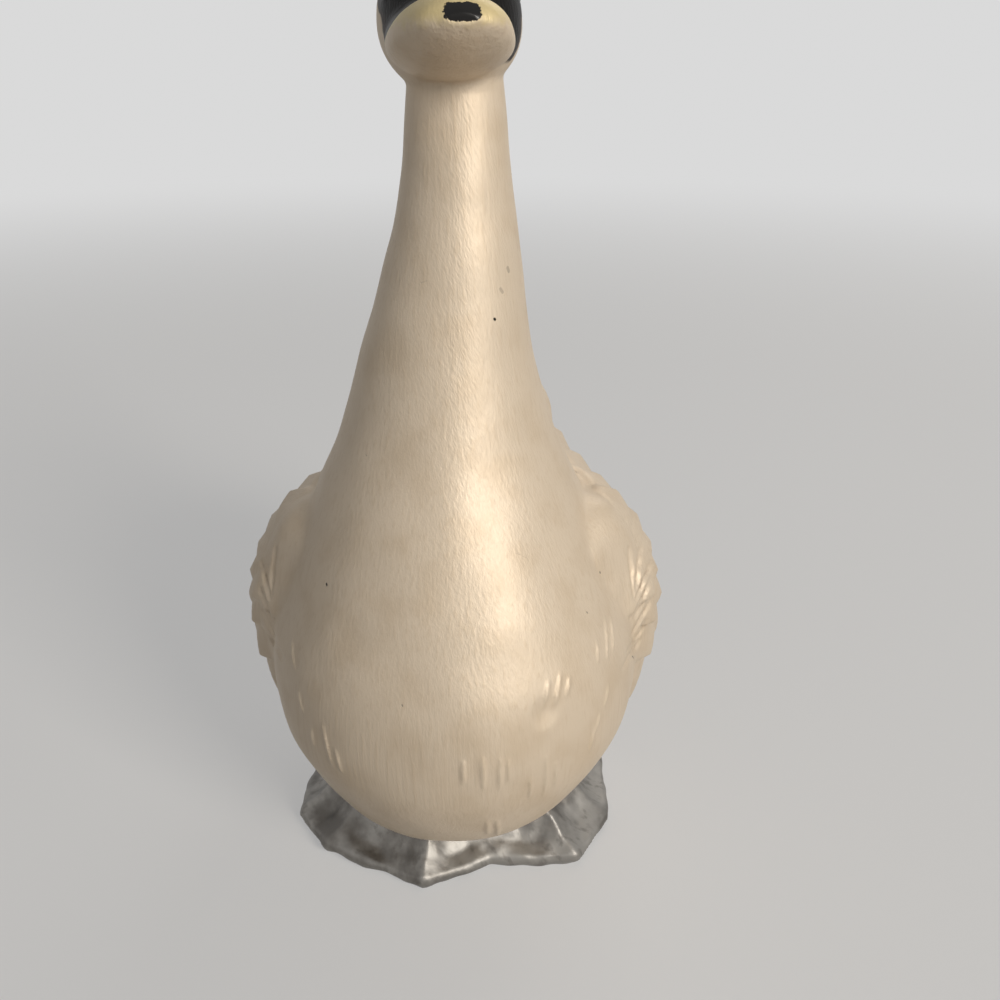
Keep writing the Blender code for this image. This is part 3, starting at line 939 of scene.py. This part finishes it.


# Paint of the body, head and bill. Brush marks are scale, stretch, tilt; the spans of clouds,
# streaks and the painted shade in the hollows are where the tint starts, where it is full, and its share.
pearl = {
    "white": rgb(236, 219, 196),
    "shade": rgb(223, 203, 176),
    # painted shade: the darker colour laid in the hollows, where shade falls
    "hollow": rgb(128, 100, 76),
    "roughness": 0.50,
    "metallic": 0.26,
    "coat": 0.05,
    "coatRoughness": 0.30,
    "refraction": 1.22,
    "streaks": (1500.0, 0.050, 0.0),
    "fineMarks": (4200.0, 0.070, 5.0),
    "slantedMarks": (2600.0, 0.22, 24.0),
    "neckFrom": 0.070,
    "neckFull": 0.100,
    "slantOnBody": 0.25,
    "slantAddedOnNeck": 0.45,
    "cloudScale": 140.0,
    "cloudSpan": (0.40, 0.75, 0.6),
    "streakSpan": (0.50, 0.72, 0.45),
    "shadeInHollowsSpan": (60.0, 520.0, 0.75),
    "roughnessSwing": 0.16,
    "bump": 0.40,
    "bumpReach": 0.00022,
    "streakRelief": 0.9,
    "fineRelief": 0.35,
    "throatRelief": 2.2,
    "throatScale": 0.75,
    "spotRelief": 1.5,
    "nostrilRelief": 2.0,
    "reliefLostInGloss": 0.85,
}
# The mask, in millimetres from the middle of the head: forward, to the side and up
mask = {
    "black": rgb(11, 8, 6),
    "brown": rgb(52, 40, 31),
    "cream": rgb(226, 207, 152),
    # pale cream of the bill's edge, made paler still as a painted highlight
    "rim": rgb(240, 226, 184),
    "roughness": 0.42,
    "nailRoughness": 0.12,
    "backEdge": [(-5.6, 7.0), (-4.8, 5.6), (-3.3, 4.7), (-1.0, 4.4), (1.2, 3.9), (2.4, 1.9), (4.2, 0.4),
                 (6.8, 1.6), (9.0, 5.6), (12.0, 11.0)],
    "edgeRange": (-6.0, 14.0, 20.0),
    "frontEdge": 10.4,
    "frontSlope": 2.2,
    "frontSlopeFrom": 0.8,
    "leftEdge": 15.2,
    "leftSides": (-5.0, -2.0),
    "leftSlope": (2.3, 1.35),
    "rimWidth": 0.9,
    "lowEdge": -4.45,
    "lowSlope": -0.03,
    "nailFrom": 22.3,
    "nailMiddle": (-1.15, 1.45),
    "nailHalf": (2.4, 1.12),
    "nailSpan": (0.85, 1.15),
    "eyeSpan": (0.1, 0.3),
    "nostril": (15.5, 2.2, 1.2, 0.45),
    "nostrilSpan": (0.6, 1.2),
    "nostrilSides": (2.5, 3.0),
    "creamForward": (9.5, 12.0),
    "creamUp": (-0.9, 1.5),
    "creamWobble": 2.0,
    "rimSoft": 0.3,
    "rimForward": (7.5, 9.0),
    "rimUp": (-1.0, 0.5),
    "throatForward": (2.0, 6.0),
    "throatTop": (-0.5, 1.5),
    "throatLow": (-9.0, -7.5),
    "wobbleScale": 0.9,
    "raggedScale": 2.4,
    "backWobble": 0.8,
    "frontWobble": 0.5,
    "nailWobble": 1.6,
    "backSoft": 0.35,
    "frontSoft": 0.08,
    "lowSoft": 0.4,
    "nailSoft": 0.1,
    "thinFrom": 0.2,
    "thinTo": 2.6,
    "creamShare": 0.85,
    "rimShare": 0.8,
    "brownShare": 0.8,
    "nostrilShare": 0.85,
    "coat": 0.02,
    "nailCoat": 0.4,
}
# Pinholes and scratches: pixels of the photograph from end to end, radius and depth of colour
blemishes = [
    (494, 319, 494.5, 319.5, 0.00034, 1.0), (326, 584, 326.4, 585, 0.00030, 0.9),
    (498, 544, 503, 545, 0.00008, 0.35), (505, 546, 509, 548, 0.00007, 0.25),
    (516, 553, 522, 555, 0.00009, 0.35), (523, 556, 530, 559, 0.00009, 0.45),
    (517, 543, 521, 543.5, 0.00006, 0.3), (510, 672, 515, 671, 0.00013, 0.35),
    (516, 662, 517, 662, 0.00016, 0.4), (638, 555, 639, 556, 0.00024, 0.7),
    (600, 572, 600.5, 573, 0.00020, 0.6), (633, 656, 634, 658, 0.00028, 0.7),
    (587, 612, 588, 613, 0.00018, 0.4), (422, 283, 427, 281, 0.00030, 0.25),
    (507, 268, 508, 271, 0.00045, 0.3), (500, 289, 502, 292, 0.00040, 0.25),
    (402, 705, 402.5, 706, 0.00018, 0.4), (365, 455, 366, 456, 0.00022, 0.4),
]


# A smooth curve through points, of a value between low and high
def curveOf(value, low, high, top, points):
    share = addNode(value.id_data, "ShaderNodeMapRange", {0: value, 1: low, 2: high})
    made = addNode(value.id_data, "ShaderNodeFloatCurve", {"Value": share})
    line = made.mapping.curves[0]
    spots = [((x - low) / (high - low), y / top) for x, y in points]
    line.points[0].location = spots[0]
    line.points[1].location = spots[-1]
    for spot in spots[1:-1]:
        line.points.new(*spot)
    made.mapping.update()
    return times(made.outputs[0], top)


# 1 where a value is above zero, with an edge that is soft on both sides
def aboveZero(value, soft):
    return softStep(value, -soft, soft)


# The painted parts of the head, each as a mask from 0 to 1
def headMasks(onHead):
    forward, side, up = split(onHead)
    wobble = minus(noiseAt(onHead, mask["wobbleScale"], 3.0), 0.5)
    ragged = minus(noiseAt(onHead, mask["raggedScale"], 2.0), 0.5)

    # black mask from the bill's root to the eyes
    behind = minus(forward, curveOf(up, *mask["edgeRange"], mask["backEdge"]))
    behind = plus(behind, times(wobble, mask["backWobble"]))
    rise = greater(minus(up, mask["frontSlopeFrom"]), 0.0)
    frontEdge = timesPlus(rise, mask["frontSlope"], mask["frontEdge"])
    # on one side the brush went further down the bill
    below, above = mask["leftSlope"]
    slope = plus(times(calc("MINIMUM", up, 0.0), below), times(greater(up, 0.0), above))
    leftShare = softStep(side, *mask["leftSides"], 1.0, 0.0)
    frontEdge = blendNumber(leftShare, frontEdge, plus(slope, mask["leftEdge"]))
    ahead = plus(minus(frontEdge, forward), times(wobble, mask["frontWobble"]))
    aboveLow = minus(up, timesPlus(side, mask["lowSlope"], mask["lowEdge"]))
    black = both(aboveZero(behind, mask["backSoft"]), aboveZero(ahead, mask["frontSoft"]),
                 aboveZero(aboveLow, mask["lowSoft"]))

    # gloss black tip of the bill
    reaches = []
    for value, middle, half in zip((side, up), mask["nailMiddle"], mask["nailHalf"]):
        reaches.append(calc("POWER", positive(calc("DIVIDE", minus(value, middle), half)), 4.0))
    edge = plus(plus(*reaches), times(ragged, mask["nailWobble"]))
    nail = both(aboveZero(minus(forward, mask["nailFrom"]), mask["nailSoft"]),
                softStep(edge, *mask["nailSpan"], 1.0, 0.0))

    # eyes and nostrils
    eyeEdge = [1000 * headForm["eyeRadius"] + more for more in mask["eyeSpan"]]
    eyes = []
    for sign in (1, -1):
        away = vectorCalc("DISTANCE", onHead, tuple(1000 * c for c in eyeMiddle(sign)))
        eyes.append(softStep(away, *eyeEdge, 1.0, 0.0))
    noseForward, noseUp, noseHalf, noseTall = mask["nostril"]
    along = calc("DIVIDE", minus(forward, noseForward), noseHalf)
    upright = calc("DIVIDE", minus(up, noseUp), noseTall)
    nose = plus(calc("POWER", along, 2.0), calc("POWER", upright, 2.0))
    out = positive(minus(side, 1000 * billForm["sideways"]))

    creamUp = plus(up, times(wobble, mask["creamWobble"]))
    return {
        "black": black,
        "thin": both(softStep(behind, mask["thinFrom"], mask["thinTo"], 1.0, 0.0), black),
        "nail": nail,
        "eyes": greater(*eyes),
        "nostrils": both(softStep(nose, *mask["nostrilSpan"], 1.0, 0.0),
                         softStep(out, *mask["nostrilSides"])),
        "cream": both(softStep(forward, *mask["creamForward"]), softStep(creamUp, *mask["creamUp"])),
        # the bill's pale edge, partly cream paint and partly a painted highlight
        "rim": both(aboveZero(plus(ahead, mask["rimWidth"]), mask["rimSoft"]),
                    softStep(aboveLow, *mask["rimUp"]), softStep(forward, *mask["rimForward"])),
        "throat": both(softStep(forward, *mask["throatForward"]), softStep(up, *mask["throatLow"]),
                       softStep(up, *mask["throatTop"], 1.0, 0.0)),
    }


def newMaterial(name):
    material = bpy.data.materials.new(name)
    material.use_nodes = True
    tree = material.node_tree
    where = addNode(tree, "ShaderNodeTexCoord").outputs["Object"]
    return material, tree, tree.nodes["Principled BSDF"].inputs, where


def hollowOf(tree):
    return addNode(tree, "ShaderNodeAttribute", attribute_name="hollow").outputs["Fac"]


def bumpOf(relief, paint):
    return addNode(relief.id_data, "ShaderNodeBump", {
        "Strength": paint["bump"], "Distance": paint["bumpReach"], "Height": relief})


def pearlMaterial(brushes, lines, marks):
    material, tree, shader, where = newMaterial("pearlPaint")
    onHead = addNode(tree, "ShaderNodeMapping", {
        "Vector": where, "Location": headMiddle, "Rotation": (0, 0, headTurn), "Scale": (0.001,) * 3},
        vector_type="TEXTURE").outputs[0]
    painted = headMasks(onHead)

    # pearl white with brush marks, and painted shade that darkens the hollows
    streaks = brush(brushes, where, pearl["streaks"])
    fine = brush(brushes, where, pearl["fineMarks"])
    slanted = brush(brushes, where, pearl["slantedMarks"])
    base = tint(pearl["white"], noiseAt(where, pearl["cloudScale"], 4.0), pearl["cloudSpan"], pearl["shade"])
    base = tint(base, streaks, pearl["streakSpan"], pearl["shade"])
    # painted shade in the hollows
    base = tint(base, hollowOf(tree), pearl["shadeInHollowsSpan"], pearl["hollow"])
    base = blendColour(times(painted["cream"], mask["creamShare"]), base, mask["cream"])
    # the bill's pale edge: cream paint with a painted highlight
    base = blendColour(times(painted["rim"], mask["rimShare"]), base, mask["rim"])
    spots = None
    for (start, end), radius, depth in marks:
        spot = times(place(lines, where, A=start, B=end, Radius=radius), depth)
        spots = spot if spots is None else greater(spots, spot)
    base = blendColour(spots, base, mask["black"])
    base = blendColour(times(painted["nostrils"], mask["nostrilShare"]), base, mask["brown"])
    blackPaint = blendColour(times(painted["thin"], mask["brownShare"]), mask["black"], mask["brown"])
    dark = greater(greater(painted["black"], painted["nail"]), painted["eyes"])
    gloss = greater(painted["nail"], painted["eyes"])
    feed(shader["Base Color"], blendColour(dark, base, blackPaint))

    swing = pearl["roughnessSwing"]
    rough = timesPlus(fine, swing, pearl["roughness"] - swing / 2)
    rough = blendNumber(painted["black"], rough, mask["roughness"])
    feed(shader["Roughness"], blendNumber(gloss, rough, mask["nailRoughness"]))
    feed(shader["Metallic"], blendNumber(dark, pearl["metallic"], 0.0))
    coat = blendNumber(dark, pearl["coat"], mask["coat"])
    feed(shader["Coat Weight"], blendNumber(gloss, coat, mask["nailCoat"]))
    shader["Coat Roughness"].default_value = pearl["coatRoughness"]
    shader["IOR"].default_value = pearl["refraction"]

    # relief of the brush marks, of rough, thick paint on the throat, and of the marks
    onNeck = softStep(split(where)[2], pearl["neckFrom"], pearl["neckFull"])
    slantShare = timesPlus(onNeck, pearl["slantAddedOnNeck"], pearl["slantOnBody"])
    relief = plus(times(streaks, pearl["streakRelief"]), times(fine, pearl["fineRelief"]))
    relief = plus(relief, times(slanted, slantShare))
    wrinkles = noiseAt(onHead, pearl["throatScale"], 5.0, 0.6)
    relief = plus(relief, both(wrinkles, painted["throat"], pearl["throatRelief"]))
    relief = minus(relief, times(spots, pearl["spotRelief"]))
    relief = minus(relief, times(painted["nostrils"], pearl["nostrilRelief"]))
    relief = times(relief, timesPlus(gloss, -pearl["reliefLostInGloss"], 1.0))
    feed(shader["Normal"], bumpOf(relief, pearl))
    return material


# Silver-grey paint of the foot, with painted shade in its hollows and a painted highlight on its ridges
stone = {
    # lighter grey, in patches and as the painted highlight on the ridges
    "light": rgb(156, 153, 148),
    "middle": rgb(100, 96, 91),
    # painted shade, laid in the hollows
    "dark": rgb(38, 34, 31),
    "roughness": 0.48,
    "metallic": 0.80,
    "patchScale": 110.0,
    "grainScale": 1500.0,
    "brushMarks": (520.0, 0.35, 30.0),
    "patchSpan": (0.34, 0.62, 1.0),
    "brushSpan": (0.52, 0.72, 0.6),
    "shadeInHollowsSpan": (30.0, 420.0, 0.9),
    "highlightOnRidgesSpan": (-420.0, -60.0, 0.7),
    "metallicInHollows": 0.2,
    "roughnessSwing": 0.30,
    "brushRelief": 0.6,
    "grainRelief": 0.2,
    "bump": 0.35,
    "bumpReach": 0.0003,
}


def stoneMaterial(brushes):
    material, tree, shader, where = newMaterial("stonePaint")
    hollow = hollowOf(tree)
    patches = noiseAt(where, stone["patchScale"], 4.0)
    grain = noiseAt(where, stone["grainScale"], 2.0)
    brushed = brush(brushes, where, stone["brushMarks"])
    base = tint(stone["middle"], patches, stone["patchSpan"], stone["light"])
    base = tint(base, brushed, stone["brushSpan"], stone["middle"])
    # painted shade: the darkest grey in the hollows
    base = tint(base, hollow, stone["shadeInHollowsSpan"], stone["dark"])
    # painted highlight: the light grey on the ridges
    low, high, share = stone["highlightOnRidgesSpan"]
    feed(shader["Base Color"], blendColour(softStep(hollow, low, high, share, 0.0), base, stone["light"]))
    swing = stone["roughnessSwing"]
    feed(shader["Roughness"], timesPlus(patches, swing, stone["roughness"] - swing / 2))
    low, high = stone["shadeInHollowsSpan"][:2]
    feed(shader["Metallic"], softStep(hollow, low, high, stone["metallic"], stone["metallicInHollows"]))
    relief = plus(times(brushed, stone["brushRelief"]), times(grain, stone["grainRelief"]))
    feed(shader["Normal"], bumpOf(relief, stone))
    return material


# All white forms cast into one skin, then softened and thinned where it is smooth.
# The carver's soft lumps are rate and depth; the dimple is at a pixel of the photograph.
castSkin = {
    "grain": 0.00028,
    "softening": 2,
    "triangles": 196000,
    "filletReach": 0.0036,
    "filletPasses": 60,
    "filletStrength": 2,
    "keepOffStrokes": 0.0012,
    "lumps": [(55.0, 0.00042), (130.0, 0.00016)],
    "dimple": (545, 713),
    "dimpleRadius": 0.0034,
    "dimpleDepth": 0.00045,
}


# Edges of long feathers, cut into the wings' fronts from pixel to pixel of the photograph.
# outFrom and frontOf keep the cuts on the wings.
wingCuts = {
    "lines": [
        (630, 548, 634, 598), (641, 548, 636, 592), (651, 562, 636, 600), (650, 580, 634, 618),
        (650, 600, 631, 636), (646, 620, 628, 652), (639, 640, 624, 668),
        (275, 548, 271, 594), (262, 562, 270, 598), (261, 588, 272, 622), (264, 610, 277, 642),
        (269, 632, 283, 660),
    ],
    "endShare": 0.06,
    "halfWidth": 3.1,
    "depth": 0.00046,
    "outFrom": 0.024,
    "frontOf": 0.024,
}


# How deep the cuts are at each vertex that the camera sees on a wing
def cutDepths(mesh):
    points = np.array([v.co for v in mesh.vertices])
    normals = np.array([v.normal for v in mesh.vertices])
    toCamera = np.array(camera["place"]) - points
    seen = -toCamera @ np.array(eyePoint.rotation_euler.to_matrix())
    ahead = -seen[:, 2]
    middle = camera["imageSize"] / 2
    size = camera["imageSize"] * camera["lens"] / camera["sensor"]
    spots = np.stack([middle + size * seen[:, 0] / ahead, middle - size * seen[:, 1] / ahead], axis=1)
    facing = np.sum(normals * toCamera, axis=1) > 0
    onWing = facing & (np.abs(points[:, 0]) > wingCuts["outFrom"]) & (points[:, 1] < wingCuts["frontOf"])
    end = wingCuts["endShare"]
    deepest = np.zeros(len(points))
    for x1, y1, x2, y2 in wingCuts["lines"]:
        start, line = np.array((x1, y1)), np.array((x2 - x1, y2 - y1))
        share = np.clip((spots - start) @ line / (line @ line), 0, 1)
        away = np.linalg.norm(spots - start - share[:, None] * line, axis=1) / wingCuts["halfWidth"]
        taper = np.sqrt(np.sin(math.pi * (end + (1 - 2 * end) * share)))
        deepest = np.maximum(deepest, np.where(away < 1, (1 - away**2) ** 2, 0) * taper)
    return np.where(onWing, deepest, 0) * wingCuts["depth"]


def carveSoftly(mesh, dimple):
    cuts = cutDepths(mesh).tolist()
    for vertex, normal, cut in [(v, v.normal.copy(), cut) for v, cut in zip(mesh.vertices, cuts)]:
        lift = lumpAt(vertex.co, castSkin["lumps"]) - cut
        away = (vertex.co - dimple).length / castSkin["dimpleRadius"]
        if away < 1:
            lift -= castSkin["dimpleDepth"] * (1 - away * away) ** 2
        vertex.co += normal * lift


# Distance from a point to a form, as a share of reach and at most 1
def awayFrom(tree, point, reach):
    distance = tree.find_nearest(point, reach)[3]
    return 1.0 if distance is None else distance / reach


# How near each vertex lies to where two forms meet, from 0 to 1, and 0 on the strokes
def nearJoins(mesh, joins, ridges):
    nearness = np.zeros(len(mesh.vertices))
    reach = castSkin["filletReach"]
    keepOff = searchTree(ridges)
    for forms in joins:
        trees = [searchTree(form) for form in forms]
        corners = np.array([v.co for v in forms[1].vertices])
        low, high = Vector(corners.min(0) - reach), Vector(corners.max(0) + reach)
        for vertex in mesh.vertices:
            if all(low[k] < vertex.co[k] < high[k] for k in range(3)):
                near = 1 - max(awayFrom(tree, vertex.co, reach) for tree in trees)
                if near > nearness[vertex.index]:
                    nearness[vertex.index] = near * awayFrom(keepOff, vertex.co, castSkin["keepOffStrokes"])
    return nearness


def castBody(meshes, joins, ridges, dimple):
    ridgeCopy = ridges.copy()
    mesh = skinOver("swan", joinMeshes("swan", meshes + [ridges]), castSkin["grain"], castSkin["softening"])
    thing = newObject("swan", mesh)
    group = thing.vertex_groups.new(name="joins")
    nearness = nearJoins(mesh, joins, ridgeCopy) * castSkin["filletStrength"]
    shares = np.round(np.clip(nearness, 0, 1), 1)
    for share in np.unique(shares[shares > 0]):
        group.add(np.flatnonzero(shares == share).tolist(), float(share), "REPLACE")
    fillet = thing.modifiers.new("fillet", "SMOOTH")
    fillet.vertex_group = "joins"
    fillet.iterations = castSkin["filletPasses"]
    mesh = takeResult(thing, "swan")
    carveSoftly(mesh, dimple)
    print("one skin:", len(mesh.polygons), "faces")
    thing = newObject("swan", mesh)
    thin = thing.modifiers.new("thin", "DECIMATE")
    thin.ratio = min(1.0, castSkin["triangles"] / (2 * len(mesh.polygons)))
    thin.use_collapse_triangulate = True
    return takeResult(thing, "swan")


def paintedPiece(name, mesh, paint):
    mesh.materials.clear()
    mesh.materials.append(paint)
    mesh.shade_smooth()
    storeHollows(mesh)
    print(name + ":", len(mesh.polygons), "faces")
    return newObject(name, mesh)


brushes = brushGroup()
bodyObject = newObject("bodyPlain", makeBody())
wingObjects = {side: newObject("wingPlain", makeWing(side)) for side in (1, -1)}
bodyAndWings = joinMeshes("bodyAndWings", [
    thing.data.copy() for thing in (bodyObject, *wingObjects.values())])
everywhere = searchTree(bodyAndWings)
bpy.data.meshes.remove(bodyAndWings)
marks = []
for x1, y1, x2, y2, radius, depth in blemishes:
    ends = [everywhere.ray_cast(*pixelRay(x, y))[0] for x, y in ((x1, y1), (x2, y2))]
    if all(ends):
        marks.append((ends, radius, depth))
pearlPaint = pearlMaterial(brushes, lineGroup(), marks)
stonePaint = stoneMaterial(brushes)
print("paints mixed")

blades = {"short": makeBlade(), "long": makeLongBlade()}
drape = drapeTree()
feathers = [grow("longFeathers", longRoots(), placeTree(), {"blade": blades["long"], "paint": pearlPaint})]
for side, wing in wingObjects.items():
    feathers.append(grow("coverFeathers", featherRoots(), drape, {
        **wingFeathers, "blade": blades["short"], "wing": wing, "side": float(side), "paint": pearlPaint}))
ridges = grow("strokes", strokeLines(bodyObject.data), strokeTree(), {
    **strokes, "surface": bodyObject, "paint": pearlPaint})
print("feathers set:", sum(len(mesh.polygons) for mesh in feathers), "faces")

skull, bill = makeSkull(), makeBill()
for mesh in (skull, bill):
    mesh.transform(headPlace)
forms = [bodyObject.data, wingObjects[1].data, wingObjects[-1].data, skull, bill]
joins = [(forms[0], forms[1]), (forms[0], forms[2]), (skull, bill)]
dimple = everywhere.ray_cast(*pixelRay(*castSkin["dimple"]))[0]
swanMesh = castBody([form.copy() for form in forms] + feathers, joins, ridges, dimple)
for helper in (bodyObject, *blades.values(), *wingObjects.values()):
    bpy.data.objects.remove(helper, do_unlink=True)
swan = paintedPiece("swan_body", swanMesh, pearlPaint)
foot = paintedPiece("rocky_foot", makeFoot(), stonePaint)

for piece in (swan, foot):
    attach(piece, "root")
    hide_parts("swan_figurine")


# Floor, lamps and world
room = {
    "floorColour": rgb(232, 230, 227),
    "floorGivesBack": rgb(120, 116, 110),
    "floorSeen": 0.50,
    "floorRoughness": 0.6,
    "floorRadius": 3.0,
    "worldColour": rgb(226, 226, 226),
    "worldLight": 0.085,
    "worldSeen": 0.92,
    "fadeFrom": 0.30,
    "fadeTo": 1.10,
    "lamps": [
        # name, place, size, watts, colour
        ("key", (0.98, -1.05, 0.72), 0.55, 16.0, (1.0, 0.95, 0.88)),
        ("fill", (-1.30, -0.70, 0.60), 1.20, 0.7, (1.0, 0.97, 0.93)),
        ("back", (0.60, 1.20, 1.10), 0.90, 4.0, (1.0, 0.97, 0.93)),
    ],
    "aim": (0.0, 0.0, 0.075),
}


def seenDirectly(tree):
    path = addNode(tree, "ShaderNodeLightPath").outputs
    return greater(greater(path["Is Camera Ray"], path["Is Glossy Ray"]), path["Is Transmission Ray"])


def roomLight(tree, kind, strength):
    return addNode(tree, kind, {"Color": room["worldColour"], "Strength": strength})


def mixShaders(tree, share, first, second):
    return addNode(tree, "ShaderNodeMixShader", {0: share, 1: first, 2: second})


def makeRoom():
    disc = bmesh.new()
    bmesh.ops.create_circle(disc, cap_ends=True, radius=room["floorRadius"], segments=96)
    mesh = bpy.data.meshes.new("floor")
    disc.to_mesh(mesh)
    disc.free()
    # seen directly the floor is paler than the light that it gives back, and far off it fades
    # into the room
    material, tree, shader, where = newMaterial("floorPaint")
    shader["Roughness"].default_value = room["floorRoughness"]
    seen = seenDirectly(tree)
    feed(shader["Base Color"], blendColour(seen, room["floorGivesBack"], room["floorColour"]))
    fade = softStep(vectorCalc("LENGTH", where), room["fadeFrom"], room["fadeTo"], room["floorSeen"], 1.0)
    pale = roomLight(tree, "ShaderNodeEmission", room["worldSeen"])
    mixed = mixShaders(tree, both(fade, seen), tree.nodes["Principled BSDF"], pale)
    feed(tree.nodes["Material Output"].inputs["Surface"], mixed)
    mesh.materials.append(material)
    newObject("floor", mesh)

    world = bpy.data.worlds.new("room")
    scene.world = world
    world.use_nodes = True
    tree = world.node_tree
    tree.nodes.clear()
    dim, pale = (roomLight(tree, "ShaderNodeBackground", room[name]) for name in ("worldLight", "worldSeen"))
    addNode(tree, "ShaderNodeOutputWorld", {"Surface": mixShaders(tree, seenDirectly(tree), dim, pale)})

    for name, place, size, watts, colour in room["lamps"]:
        light = bpy.data.lights.new(name, "AREA")
        light.size = size
        light.energy = watts
        light.color = colour
        lamp = bpy.data.objects.new(name, light)
        lamp.location = place
        lamp.rotation_euler = (Vector(room["aim"]) - Vector(place)).to_track_quat("-Z", "Y").to_euler()
        scene.collection.objects.link(lamp)


makeRoom()
scene.view_settings.view_transform = "Standard"
print("room lit")
